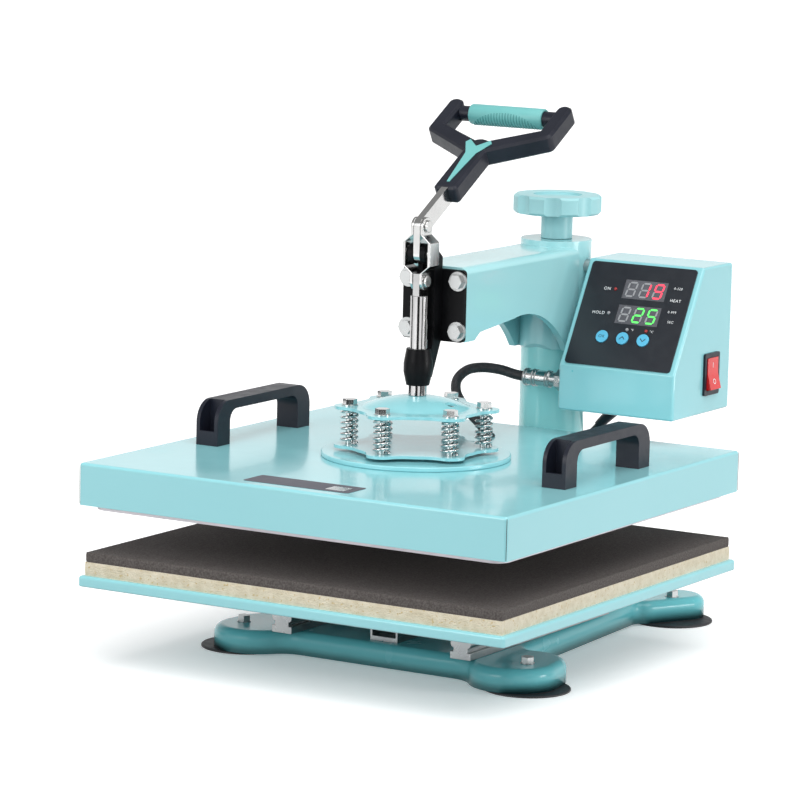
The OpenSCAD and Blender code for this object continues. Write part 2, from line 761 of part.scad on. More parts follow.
module fulcrum_pin() {
  color("silver") place() translate([0, 0, pivot_z]) rotate([0, 90, 0]) {
    cylinder(h = 2 * ear_out, d = fulcrum_d, center = true);
    for (s = [-1, 1]) translate([0, 0, s * (ear_out + 0.9)])
      cylinder(h = 1.8, d = fulcrum_d + 3, center = true);
  }
}

module box_profile() {
  polygon([[box_front, box_z], [box_front, brow_z], [box_front + box_lean, box_top], [box_back_y, box_top],
    [box_back_y, box_z]]);
}

// middles of the spheres that round the box
module box_core() {
  offset(delta = -box_edge_r) box_profile();
}

module box_shell() {
  color("turquoise") place() difference() {
    translate([box_x + box_w / 2, 0, 0]) minkowski() {
      across(box_w - 2 * box_edge_r) box_core();
      sphere(box_edge_r, $fn = 16);
    }
    translate([box_x + box_w / 2, 0, 0]) across(box_w - 2 * box_wall) difference() {
      union() {
        offset(delta = -box_wall) box_profile();
        translate([box_back_y - 8, box_z + 5]) square([20, box_h - 10]);
      }
    }
    on_panel() translate([8, 12, -12]) cube([panel_w - 16, panel_h - 24, 20]);
    translate([box_right - 10, rocker_y - rocker_w / 2 - 1.5, rocker_z - rocker_h / 2 - 1.5])
      cube([20, rocker_w + 3, rocker_h + 3]);
    translate([box_x - 5, socket_y, socket_z]) rotate([0, 90, 0]) cylinder(h = 20, d = 12);
    translate([gland_x, gland_y, box_z - 5]) cylinder(h = 20, d = 12);
    for (z = spacer_zs) translate([box_x - 5, column_y, z]) rotate([0, 90, 0])
      cylinder(h = 12, d = 6 + 2 * fit);
  }
}

module box_back() {
  color("turquoise") place() translate([box_x + box_wall + fit, box_back_y - 2, box_z + 5 + fit])
    cube([box_w - 2 * box_wall - 2 * fit, 2, box_h - 10 - 2 * fit]);
}

module box_spacers() {
  color("dimgray") place() difference() {
    for (z = spacer_zs) translate([0, column_y, z]) rotate([0, 90, 0]) {
      translate([0, 0, sleeve_r - 6]) cylinder(h = box_x - sleeve_r + 6, d = 12);
      translate([0, 0, box_x]) cylinder(h = box_wall + 3, d = 6);
      translate([0, 0, box_x + box_wall]) hex_head(9.8, 5);
    }
    translate([0, column_y, skirt_z - 1]) cylinder(h = sleeve_top - skirt_z + 2, r = sleeve_r + fit);
    translate([-arm_w / 2 - fit, arm_front, skirt_z - 1])
      cube([arm_w + 2 * fit, column_y - arm_front + fit, sleeve_top - skirt_z]);
  }
}

module control_panel() {
  color("black") place() on_panel() difference() {
    linear_extrude(panel_t) translate([panel_w / 2, panel_h / 2]) round_rect(panel_w, panel_h, 3);
    for (v = [temp_v, time_v]) translate([display_u, v, -1]) cube([display_w, display_h, 5]);
    for (u = button_us) translate([u, button_v, -1]) cylinder(h = 5, d = button_d + 2 * slack);
    for (p = led_uvs) translate([p[0], p[1], -1]) cylinder(h = 5, d = led_d + 2 * fit);
  }
}

module display(v) {
  on_panel() translate([display_u + fit, v + fit, board_w])
    cube([display_w - 2 * fit, display_h - 2 * fit, panel_t - 0.2 - board_w]);
}

module temp_display() {
  color("red") place() display(temp_v);
}

module time_display() {
  color("green") place() display(time_v);
}

module indicator_leds() {
  color("yellow") place() on_panel() for (p = led_uvs) translate([p[0], p[1], board_w]) {
    cylinder(h = panel_t - board_w, d = led_d);
    translate([0, 0, panel_t - board_w]) intersection() {
      sphere(led_d / 2);
      cylinder(h = 3, d = led_d);
    }
  }
}

module controller_board() {
  color("darkgreen") place() on_panel() {
    translate([4, 7, board_w - 1.6]) cube([panel_w - 8, panel_h - 14, 1.6]);
    for (u = button_us) translate([u - 3, button_v - 3, board_w]) cube([6, 6, 2]);
    for (x = [6, panel_w - 6], y = [9.5, panel_h - 9.5]) translate([x, y, board_w])
      cylinder(h = -board_w - box_wall, d = 3.6);
  }
}

module button(i) {
  on_panel() translate([button_us[i], button_v, 0]) {
    translate([0, 0, -3]) cylinder(h = panel_t + 3.9, d = button_d);
    translate([0, 0, -3]) cylinder(h = 2.4, d = button_d + 2);
  }
}

module button_set() {
  color("royalblue") place() button(0);
}

module button_up() {
  color("royalblue") place() button(1);
}

module button_down() {
  color("royalblue") place() button(2);
}

module rocker_frame() {
  color("black") place() translate([box_right, rocker_y, rocker_z]) rotate([0, 90, 0]) difference() {
    union() {
      linear_extrude(2) round_rect(rocker_h + 9, rocker_w + 8, 2);
      translate([0, 0, -14]) linear_extrude(14.5) square([rocker_h + 2.8, rocker_w + 2.8], center = true);
    }
    translate([0, 0, -12]) linear_extrude(20) square([rocker_h + 1.2, rocker_w + 0.8], center = true);
    rotate([90, 0, 0]) cylinder(h = rocker_w + 2, d = 2 + 2 * fit, center = true);
  }
}

module rocker() {
  color("red") place() translate([box_right, rocker_y, rocker_z]) rotate([0, -rocker_deg, 0])
    rotate([90, 0, 0]) {
    linear_extrude(rocker_w, center = true) polygon([[-6, -rocker_h / 2 + 3], [-6, rocker_h / 2 - 3],
      [0, rocker_h / 2], [4.4, rocker_h / 2], [2.8, 0], [4.4, -rocker_h / 2], [0, -rocker_h / 2]]);
    cylinder(h = rocker_w + 1.8, d = 2, center = true);
  }
}

module aviation_socket() {
  color("silver") place() translate([box_x, socket_y, socket_z]) rotate([0, -90, 0]) {
    translate([0, 0, -box_wall - 4]) cylinder(h = box_wall + 4, d = 12 - 2 * fit);
    cylinder(h = 1.5, d = 18.5);
    translate([0, 0, 1.5]) hex_head(16, 5);
    translate([0, 0, 6.5]) cylinder(h = 6.5, d = 12);
  }
}

module aviation_plug() {
  color("silver") place() translate([box_x - 13, socket_y, socket_z]) rotate([0, -90, 0]) {
    cylinder(h = 16.5, d = 13.4);
    translate([0, 0, 16.5]) difference() {
      cylinder(h = 8.5, d = 14);
      translate([0, 0, 5]) cylinder(h = 5, d = cable_d + 2 * fit);
    }
  }
}

module heater_cable() {
  cable = concat([cable_start + [3.4, 0, 0]], smooth_path(cable_route, 3), [cable_end]);
  color("dimgray") place() tube(cable, cable_d, 10);
}

module cord_gland() {
  axis = relief_axis;
  color("black") place() difference() {
    union() {
      translate([gland_x, gland_y, box_z - 3]) hex_head(16, 3);
      translate([gland_x, gland_y, box_z]) cylinder(h = box_wall + 3, d = 12 - 2 * fit);
      translate([gland_x, gland_y, box_z - 4]) sphere(6.5);
      translate([gland_x, gland_y, box_z - 4]) rotate([0, acos(axis[2]), atan2(axis[1], axis[0])])
        cylinder(h = norm(relief_end - [gland_x, gland_y, box_z - 4]), r1 = 6, r2 = 4);
    }
    translate([gland_x, gland_y, box_z + box_wall - 8]) cylinder(h = 20, d = 5);
  }
}

module power_cord() {
  color("black") place() tube(concat([relief_end], smooth_path(cord_route, 4), [coil_start]), cord_d, 10);
}

module cord_coil() {
  color("black") place() tube(coil_path, cord_d, 6);
}

module cord_tie() {
  band_w = coil_pitch * coil_loops + cord_d + 1.2;
  band_h = coil_pitch + cord_d + 0.6;
  color("dimgray") place() translate([coil_x, coil_y + coil_r, 1.5]) rotate([90, 0, 90])
    linear_extrude(8, center = true) translate([0, band_h / 2]) difference() {
      square([band_w + 3, band_h + 3], center = true);
      square([band_w, band_h], center = true);
    }
}

module mains_plug() {
  color("black") place() translate(coil_exit + [0, 30, 0]) rotate([-90, 0, 0]) {
    cylinder(h = 14, r1 = 4, r2 = 6);
    translate([0, 0, 14]) linear_extrude(28) round_rect(30, 2 * (coil_low + coil_pitch), 6);
    for (s = [-1, 1]) translate([s * 6.5 - 0.8, -3, 42]) cube([1.6, 6, 16]);
  }
}

module lever_bar() {
  color("silver") place() difference() {
    across(lever_t) {
      translate([0, pivot_z]) circle(lever_w / 2);
      translate([0, rivet_z]) circle(lever_w / 2);
      translate([-lever_w / 2, pivot_z]) square([lever_w, throw]);
      translate([0, rivet_z]) rotate(lever_tilt) translate([0, -lever_w / 2])
        square([handle_start + 34, lever_w]);
    }
    translate([0, 0, pivot_z]) rotate([0, 90, 0]) cylinder(h = 30, d = fulcrum_d + 2 * fit, center = true);
    translate([0, 0, rivet_z]) rotate([0, 90, 0]) cylinder(h = 30, d = rivet_d + 2 * fit, center = true);
  }
}

// chamfered disc of the handle
module puck(x, t, r) {
  translate([x, t, 0]) {
    cylinder(h = handle_t - 2 * handle_edge, r = r, center = true, $fn = 32);
    cylinder(h = handle_t, r = r - handle_edge, center = true, $fn = 32);
  }
}

module handle_yoke() {
  color("black") place() along_lever() difference() {
    union() {
      hull() {
        for (s = [-1, 1]) puck(s * (stem_w / 2 - 4), handle_start + 4, 4);
        puck(0, fork_at, stem_w / 2);
      }
      for (s = [-1, 1]) {
        hull() {
          puck(s * 6, fork_at, yoke_w / 2 + 1);
          puck(s * yoke_x, bend_at, yoke_w / 2);
        }
        hull() {
          puck(s * yoke_x, bend_at, yoke_w / 2);
          puck(s * yoke_x, tip_at, yoke_w / 2);
        }
      }
    }
    translate([-lever_t / 2 - fit, handle_start - 5, -lever_w / 2 - fit])
      cube([lever_t + 2 * fit, 39.2, lever_w + 2 * fit]);
  }
}

module handle_bar() {
  color("silver") place() along_lever() translate([0, grip_at, 0]) rotate([0, 90, 0])
    cylinder(h = 2 * yoke_x - yoke_w - 2 * fit, d = bar_d, center = true);
}

module handle_grip() {
  color("turquoise") place() along_lever() translate([0, grip_at, 0]) rotate([0, 90, 0]) difference() {
    cylinder(h = grip_len, d = grip_d, center = true);
    cylinder(h = grip_len + 2, d = bar_d + 2 * fit, center = true);
    for (k = [-6:6]) translate([0, 0, k * grip_len / 14]) rotate_extrude()
      translate([grip_d / 2, 0]) circle(0.5);
  }
}

module handle_inlay() {
  color("turquoise") place() along_lever() translate([0, 0, handle_t / 2]) linear_extrude(inlay_t)
    polygon([[-1.2, handle_start + 8], [1.2, handle_start + 8], [5, fork_at - 12], [12.5, fork_at + 3],
      [9.5, fork_at + 7], [0, fork_at - 2], [-9.5, fork_at + 7], [-12.5, fork_at + 3], [-5, fork_at - 12]]);
}

module link_profile() {
  joint = throw - eye_r;
  for (s = [-1, 1]) mirror([s < 0 ? 1 : 0, 0]) polygon([[link_in, throw + eye_r], [link_in, joint + 1],
    [link_out, joint - 5], [link_out, 5 - joint], [link_in, -joint - 1], [link_in, -throw - eye_r],
    [link_in + link_t, -throw - eye_r], [link_in + link_t, -joint - 1 + link_t / 4],
    [link_out + link_t, 5 - joint + link_t / 4], [link_out + link_t, joint - 5 - link_t / 4],
    [link_in + link_t, joint + 1 - link_t / 4], [link_in + link_t, throw + eye_r]]);
}

module link_plates() {
  color("silver") place() translate([0, 0, pivot_z]) difference() {
    intersection() {
      rotate([90, 0, 0]) linear_extrude(link_w, center = true) link_profile();
      across(4 * link_out) {
        for (z = [-throw, throw]) translate([0, z]) circle(eye_r);
        square([link_w, 2 * throw], center = true);
      }
    }
    for (z = [-throw, throw]) translate([0, 0, z]) rotate([0, 90, 0])
      cylinder(h = 4 * link_out, d = rivet_d + 2 * fit, center = true);
  }
}

module toggle_rivets() {
  color("silver") place() {
    translate([0, 0, rivet_z]) rotate([0, 90, 0]) {
      cylinder(h = 2 * (link_in + link_t), d = rivet_d, center = true);
      for (s = [-1, 1]) translate([0, 0, s * (link_in + link_t + 1)])
        cylinder(h = 2, d = rivet_d + 4, center = true);
    }
    for (s = [-1, 1]) translate([s * (lever_t / 2 + 0.1), 0, crank_z]) rotate([0, s * 90, 0]) {
      cylinder(h = link_t + 0.1, d = rivet_d);
      translate([0, 0, link_t + 0.1]) cylinder(h = 2, d = rivet_d + 4);
    }
  }
}

module plunger() {
  color("silver") place() difference() {
    union() {
      translate([0, 0, dome_top]) cylinder(h = rod_top - dome_top, d = plunger_d);
      translate([0, 0, dome_top - dome_h - 1]) cylinder(h = dome_h + 1, d = 10);
      intersection() {
        translate([0, 0, rod_top]) cylinder(h = tongue_top - rod_top, d = plunger_d);
        translate([-lever_t / 2, -plunger_d / 2 + 1, rod_top - 1])
          cube([lever_t, plunger_d - 2, tongue_top - rod_top + 1]);
      }
    }
    translate([0, 0, crank_z]) rotate([0, 90, 0]) cylinder(h = 30, d = rivet_d, center = true);
  }
}

module plunger_nut() {
  color("silver") place() translate([0, 0, dome_top - dome_h]) difference() {
    hex_head(17, dome_h - spider_t - 0.6);
    translate([0, 0, -1]) cylinder(h = dome_h + 2, d = 10 + 2 * fit);
  }
}

module spider_outline() {
  offset(r = -spider_neck_r, $fn = 96) offset(delta = spider_neck_r) {
    circle(bolt_circle_r - 1, $fn = 96);
    for (k = [0:5]) rotate(60 * k - 90) translate([bolt_circle_r, 0]) circle(spider_lobe_r);
  }
}

module upper_spider() {
  color("silver") place() difference() {
    union() {
      translate([0, 0, spider_high]) linear_extrude(spider_t) spider_outline();
      intersection() {
        translate([0, 0, dome_top - dome_R]) sphere(dome_R);
        translate([0, 0, spider_high]) cylinder(h = dome_h + spider_t, r = dome_base_r);
      }
    }
    translate([0, 0, dome_top - dome_R]) sphere(dome_R - spider_t);
    translate([0, 0, spider_high - 1]) cylinder(h = dome_h + 10, d = 10 + 2 * fit);
    translate([0, 0, spider_high - 1]) at_bolts() cylinder(h = spider_t + 2, d = spring_bolt_d + 2 * slack);
    translate([dome_base_r - 14, 0, spider_high - 1]) linear_extrude(dome_h + 10) {
      for (y = [-2, 2]) translate([0, y]) circle(4);
      square([8, 4], center = true);
    }
  }
}

module springs() {
  color("silver") place() translate([0, 0, spring_low]) at_bolts() tube(spring_path, wire_d, 6);
}

module lower_spider() {
  color("silver") place() translate([0, 0, spider_low]) difference() {
    linear_extrude(spider_t) spider_outline();
    translate([0, 0, -1]) at_bolts() cylinder(h = spider_t + 2, d = spring_bolt_d + 2 * fit);
  }
}

module mounting_disc() {
  color("silver") place() translate([0, 0, cover_top]) {
    cylinder(h = disc_t, r = disc_r);
    cylinder(h = disc_t + boss_h, r = boss_r);
  }
}

module spring_bolts() {
  color("silver") place() at_bolts() {
    translate([0, 0, spider_low]) cylinder(h = rim_top - spider_low, d = spring_bolt_d);
    translate([0, 0, rim_top]) cylinder(h = 1, d = head_w + 2);
    translate([0, 0, rim_top + 1]) hex_head(head_w - 1, 4.5);
  }
}

module platen_cover() {
  color("turquoise") place() difference() {
    translate([0, 0, cover_z]) soft_plate(cover_side, cover_side, cover_h, sheet_edge_r);
    translate([0, 0, cover_z - 1]) linear_extrude(cover_h - cover_wall + 1)
      round_rect(inner_side, inner_side, 1);
    at_side_screws() translate([0, 0, -10]) cylinder(h = 20, d = 4 + 2 * fit);
  }
}

module insulation() {
  top = cover_top - cover_wall;
  color("wheat") place() difference() {
    translate([0, 0, heater_z + heater_t]) linear_extrude(top - heater_z - heater_t)
      square(heater_side - 4, center = true);
    at_side_screws() translate([0, 0, -12]) cylinder(h = 12, d = 5);
  }
}

module heating_plate() {
  color("dimgray") place() translate([0, 0, heater_z]) linear_extrude(heater_t)
    round_rect(heater_side, heater_side, heater_corner_r);
}

module at_side_screws() {
  for (s = [-1, 1], q = [-1, 1]) translate([s * side_x, 8 + q * (side_len / 2 - 9), cover_top]) children();
}

module side_profile() {
  r_out = 18;
  r_in = 10;
  span = side_len - 2 * side_foot;
  gap = side_h - side_bridge;
  difference() {
    union() {
      translate([-side_len / 2, 0]) square([side_len, side_h - r_out]);
      translate([-side_len / 2 + r_out, 0]) square([side_len - 2 * r_out, side_h]);
      for (s = [-1, 1]) translate([s * (side_len / 2 - r_out), side_h - r_out]) circle(r_out);
    }
    translate([-span / 2, -1]) square([span, gap - r_in + 1]);
    translate([-span / 2 + r_in, -1]) square([span - 2 * r_in, gap + 1]);
    for (s = [-1, 1]) translate([s * (span / 2 - r_in), gap - r_in]) circle(r_in);
  }
}

module side_handles() {
  color("black") place() difference() {
    for (s = [-1, 1]) translate([s * side_x, 8, cover_top]) difference() {
      across(side_w) side_profile();
      for (q = [-1, 1]) translate([0, q * side_len / 2, 0]) scale([1, q, 1]) {
        translate([-side_w / 2 + 3.5, -16, 6]) cube([side_w - 7, 13, side_h]);
        translate([-side_w / 2 + 3.5, -16, 12]) cube([side_w - 7, 30, side_h]);
      }
    }
    at_side_screws() translate([0, 0, -1]) cylinder(h = 12, d = 4 + 2 * fit);
  }
}

base_casting();
rubber_feet();
foot_bolts();
column_post();
column_nut();
rail_left();
rail_right();
center_channel();
lower_plate();
felt_pad();
silicone_pad();
slider_left();
slider_right();
guide_block();
lift_collar();
pressure_screw();
pressure_knob();
swing_arm();
toggle_bracket();
bracket_bolts();
fulcrum_pin();
box_shell();
box_back();
box_spacers();
control_panel();
temp_display();
time_display();
indicator_leds();
controller_board();
rocker_frame();
aviation_socket();
aviation_plug();
heater_cable();
cord_gland();
power_cord();
cord_coil();
cord_tie();
mains_plug();
rocker();
button_set();
button_up();
button_down();
lever_bar();
handle_yoke();
handle_bar();
handle_grip();
handle_inlay();
link_plates();
toggle_rivets();
plunger();
plunger_nut();
upper_spider();
springs();
lower_spider();
mounting_disc();
spring_bolts();
platen_cover();
insulation();
heating_plate();
side_handles();
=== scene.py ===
import bpy
import bmesh
import json
import math
from mathutils import Matrix, Vector, noise


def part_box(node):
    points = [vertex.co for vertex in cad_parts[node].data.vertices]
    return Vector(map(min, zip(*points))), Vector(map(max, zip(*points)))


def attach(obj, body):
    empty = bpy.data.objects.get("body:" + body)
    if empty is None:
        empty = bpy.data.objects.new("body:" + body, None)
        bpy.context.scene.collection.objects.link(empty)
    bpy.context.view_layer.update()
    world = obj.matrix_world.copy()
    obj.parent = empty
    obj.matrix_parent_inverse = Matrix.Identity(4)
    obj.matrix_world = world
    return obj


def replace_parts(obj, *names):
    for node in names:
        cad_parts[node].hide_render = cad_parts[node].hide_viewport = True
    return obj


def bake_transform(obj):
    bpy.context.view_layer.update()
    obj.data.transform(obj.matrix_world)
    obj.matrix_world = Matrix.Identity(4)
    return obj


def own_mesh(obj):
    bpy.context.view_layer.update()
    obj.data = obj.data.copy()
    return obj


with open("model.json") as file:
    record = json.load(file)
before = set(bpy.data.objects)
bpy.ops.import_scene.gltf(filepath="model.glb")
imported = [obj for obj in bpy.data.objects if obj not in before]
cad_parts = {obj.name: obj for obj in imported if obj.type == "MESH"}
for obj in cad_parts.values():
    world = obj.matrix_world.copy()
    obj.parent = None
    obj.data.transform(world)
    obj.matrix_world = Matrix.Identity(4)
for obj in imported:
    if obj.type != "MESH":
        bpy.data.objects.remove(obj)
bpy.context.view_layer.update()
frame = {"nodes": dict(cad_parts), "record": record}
nodes = frame["nodes"]
bodyOf = {n: body for body, members in frame["record"]["behaviour"]["bodies"].items() for n in members}
scene = bpy.context.scene
print("frame:", len(nodes), "nodes")


mm = 0.001
platenLead = 54.75  # how far the platen's centre lies before the frame's origin, in mm


def spot(x, y, z):  # millimetres from the platen's centre, at floor level
    return Vector((x, y - platenLead, z)) * mm


# camera at the photograph's viewpoint
shot = {"azimuth": 30.66, "elevation": 8.75, "roll": 1.39, "lens": 190.1, "sensor": 36, "clip": 60,
        "aim": (0, 0, 168.3), "distance": 3.46311, "right": -0.01302, "up": 0.04623}


def makeCamera():
    az, el, roll = (math.radians(shot[k]) for k in ("azimuth", "elevation", "roll"))
    back = Vector((math.sin(az) * math.cos(el), -math.cos(az) * math.cos(el), math.sin(el)))
    side = Vector((math.cos(az), math.sin(az), 0))
    rise = back.cross(side)
    right = side * math.cos(roll) + rise * math.sin(roll)
    up = rise * math.cos(roll) - side * math.sin(roll)
    data = bpy.data.cameras.new("camera")
    data.lens = shot["lens"]
    data.sensor_width = shot["sensor"]
    data.clip_end = shot["clip"]
    camera = bpy.data.objects.new("camera", data)
    scene.collection.objects.link(camera)
    turn = Matrix((right, up, back)).transposed().to_4x4()
    place = spot(*shot["aim"]) + back * shot["distance"] + right * shot["right"] + up * shot["up"]
    camera.matrix_world = Matrix.Translation(place) @ turn
    scene.camera = camera


makeCamera()

# soft studio: room bright at the horizon and dim above, broad high sun, a panel at each side,
# and dark flags that only reflections see
studio = {"room": [(0.49, 0.24), (0.50, 1.0), (0.61, 1.0), (0.78, 0.35)],
          "floor": (0.98, 0.98, 0.98), "floorSize": (28, 28), "floorLift": 0.20, "rough": 0.8,
          "sun": {"from": (0.32, -0.25, 0.90), "strength": 2.3, "angle": 60},
          "panels": [("frontPanel", (-0.6, -2.2, 1.1), 1.2, 20), ("rightPanel", (1.7, 0.45, 0.30), 0.5, 9),
                     ("keyPanel", (1.3, -1.7, 1.3), 0.9, 6)],
          "panelAim": (0, 0, 0.25),
          "flags": {"away": 1.0, "tone": 0.012,
                    "sheets": [(-100, 0.35, 0.3), (-14, 0.5, 0.7), (34, 0.22, 0.7), (82, 0.55, 0.2)]}}


def plainMaterial(name, tone, lift=0.0):
    mat = bpy.data.materials.new(name)
    mat.use_nodes = True
    shader = mat.node_tree.nodes["Principled BSDF"]
    shader.inputs["Base Color"].default_value = (*tone, 1)
    shader.inputs["Roughness"].default_value = studio["rough"]
    shader.inputs["Emission Color"].default_value = (1, 1, 1, 1)
    shader.inputs["Emission Strength"].default_value = lift
    return mat


def stageSheet(name, size, place, mat):
    bm = bmesh.new()
    bmesh.ops.create_grid(bm, x_segments=2, y_segments=2, size=0.5)
    bmesh.ops.scale(bm, vec=(*size, 1), verts=bm.verts)
    bmesh.ops.transform(bm, matrix=place, verts=bm.verts)
    mesh = bpy.data.meshes.new(name)
    bm.to_mesh(mesh)
    bm.free()
    mesh.materials.append(mat)
    sheet = bpy.data.objects.new(name, mesh)
    scene.collection.objects.link(sheet)
    return sheet


def addLight(name, kind, place, aim, power):
    light = bpy.data.lights.new(name, kind)
    light.energy = power
    holder = bpy.data.objects.new(name, light)
    holder.location = place
    holder.rotation_euler = (Vector(aim) - Vector(place)).to_track_quat("-Z", "Y").to_euler()
    scene.collection.objects.link(holder)
    return light


def makeStudio():
    world = bpy.data.worlds.new("room")
    world.use_nodes = True
    tree = world.node_tree
    coord = tree.nodes.new("ShaderNodeTexCoord")
    split = tree.nodes.new("ShaderNodeSeparateXYZ")
    half = tree.nodes.new("ShaderNodeMath")  # straight down is 0, the horizon 0.5, straight up 1
    half.operation = "MULTIPLY_ADD"
    half.inputs[1].default_value = 0.5
    half.inputs[2].default_value = 0.5
    band = tree.nodes.new("ShaderNodeValToRGB")
    stops = band.color_ramp.elements
    for k, (place, level) in enumerate(studio["room"]):
        stop = stops[k] if k < 2 else stops.new(place)
        stop.position = place
        stop.color = (level, level, level, 1)
    tree.links.new(coord.outputs["Generated"], split.inputs["Vector"])
    tree.links.new(split.outputs["Z"], half.inputs[0])
    tree.links.new(half.outputs["Value"], band.inputs["Fac"])
    tree.links.new(band.outputs["Color"], tree.nodes["Background"].inputs["Color"])
    scene.world = world
    sun = addLight("sun", "SUN", studio["sun"]["from"], (0, 0, 0), studio["sun"]["strength"])
    sun.angle = math.radians(studio["sun"]["angle"])
    for name, place, size, power in studio["panels"]:
        addLight(name, "AREA", place, studio["panelAim"], power).size = size
    floorPaint = plainMaterial("floorPaint", studio["floor"], studio["floorLift"])
    floor = stageSheet("floor", studio["floorSize"], Matrix(), floorPaint)
    floor.visible_diffuse = False
    flags = studio["flags"]
    dark = plainMaterial("flagCloth", (flags["tone"],) * 3)
    upright = Matrix.Rotation(math.radians(90), 4, "X")
    for k, (turn, width, height) in enumerate(flags["sheets"]):  # turn is from the camera's side
        around = Matrix.Rotation(math.radians(shot["azimuth"] + turn), 4, "Z")
        place = around @ Matrix.Translation((0, -flags["away"], height / 2)) @ upright
        flag = stageSheet("flag" + str(k), (width, height), place, dark)
        flag.visible_camera = False
        flag.visible_diffuse = False
        flag.visible_shadow = False
    scene.view_settings.view_transform = "Standard"


makeStudio()
print("camera and studio")


# finishes, all on Object coordinates
texture = {"mottleStops": (0.32, 0.68), "glossStops": (0.3, 0.7), "glossFiner": 4, "fleckFade": 0.06,
           "detail": 5, "fleckDetail": 2, "grainDetail": 3}


def surface(name, tones, rough, metal=0.0, mottle=9, grain=None, coat=0.0, coatRough=0.06, sheen=0.0,
            stretch=(1, 1, 1), specular=None, flecks=None):
    mat = bpy.data.materials.new(name)
    mat.use_nodes = True
    tree = mat.node_tree
    shader = tree.nodes["Principled BSDF"]
    coord = tree.nodes.new("ShaderNodeTexCoord")
    mapping = tree.nodes.new("ShaderNodeMapping")
    mapping.inputs["Scale"].default_value = stretch
    tree.links.new(coord.outputs["Object"], mapping.inputs["Vector"])

    def clouds(scale, detail=texture["detail"]):
        tex = tree.nodes.new("ShaderNodeTexNoise")
        tex.inputs["Scale"].default_value = scale
        tex.inputs["Detail"].default_value = detail
        tree.links.new(mapping.outputs["Vector"], tex.inputs["Vector"])
        return tex

    def ramp(tex, stops, a, b):
        band = tree.nodes.new("ShaderNodeValToRGB")
        for stop, place, tone in zip(band.color_ramp.elements, stops, (a, b)):
            stop.position = place
            stop.color = tone
        tree.links.new(tex.outputs["Fac"], band.inputs["Fac"])
        return band

    colour = ramp(clouds(mottle), texture["mottleStops"], (*tones[0], 1), (*tones[1], 1)).outputs["Color"]
    if flecks:  # small spots of another tone
        stops = (flecks["from"], flecks["from"] + texture["fleckFade"])
        dots = ramp(clouds(flecks["scale"], texture["fleckDetail"]), stops, (0, 0, 0, 1), (1, 1, 1, 1))
        mix = tree.nodes.new("ShaderNodeMix")  # its colour sockets are 6 and 7, and 2 on the way out
        mix.data_type = "RGBA"
        mix.inputs[7].default_value = (*flecks["tone"], 1)
        tree.links.new(dots.outputs["Color"], mix.inputs[0])
        tree.links.new(colour, mix.inputs[6])
        colour = mix.outputs[2]
    tree.links.new(colour, shader.inputs["Base Color"])
    dull, duller = ((level, level, level, 1) for level in rough)
    gloss = ramp(clouds(mottle * texture["glossFiner"]), texture["glossStops"], dull, duller)
    tree.links.new(gloss.outputs["Color"], shader.inputs["Roughness"])
    if grain:  # scale, strength, depth in metres
        relief = tree.nodes.new("ShaderNodeBump")
        relief.inputs["Strength"].default_value = grain[1]
        relief.inputs["Distance"].default_value = grain[2]
        tree.links.new(clouds(grain[0], texture["grainDetail"]).outputs["Fac"], relief.inputs["Height"])
        tree.links.new(relief.outputs["Normal"], shader.inputs["Normal"])
    shader.inputs["Metallic"].default_value = metal
    shader.inputs["Coat Weight"].default_value = coat
    shader.inputs["Coat Roughness"].default_value = coatRough
    shader.inputs["Sheen Weight"].default_value = sheen
    if specular is not None:
        shader.inputs["Specular IOR Level"].default_value = specular
    return mat


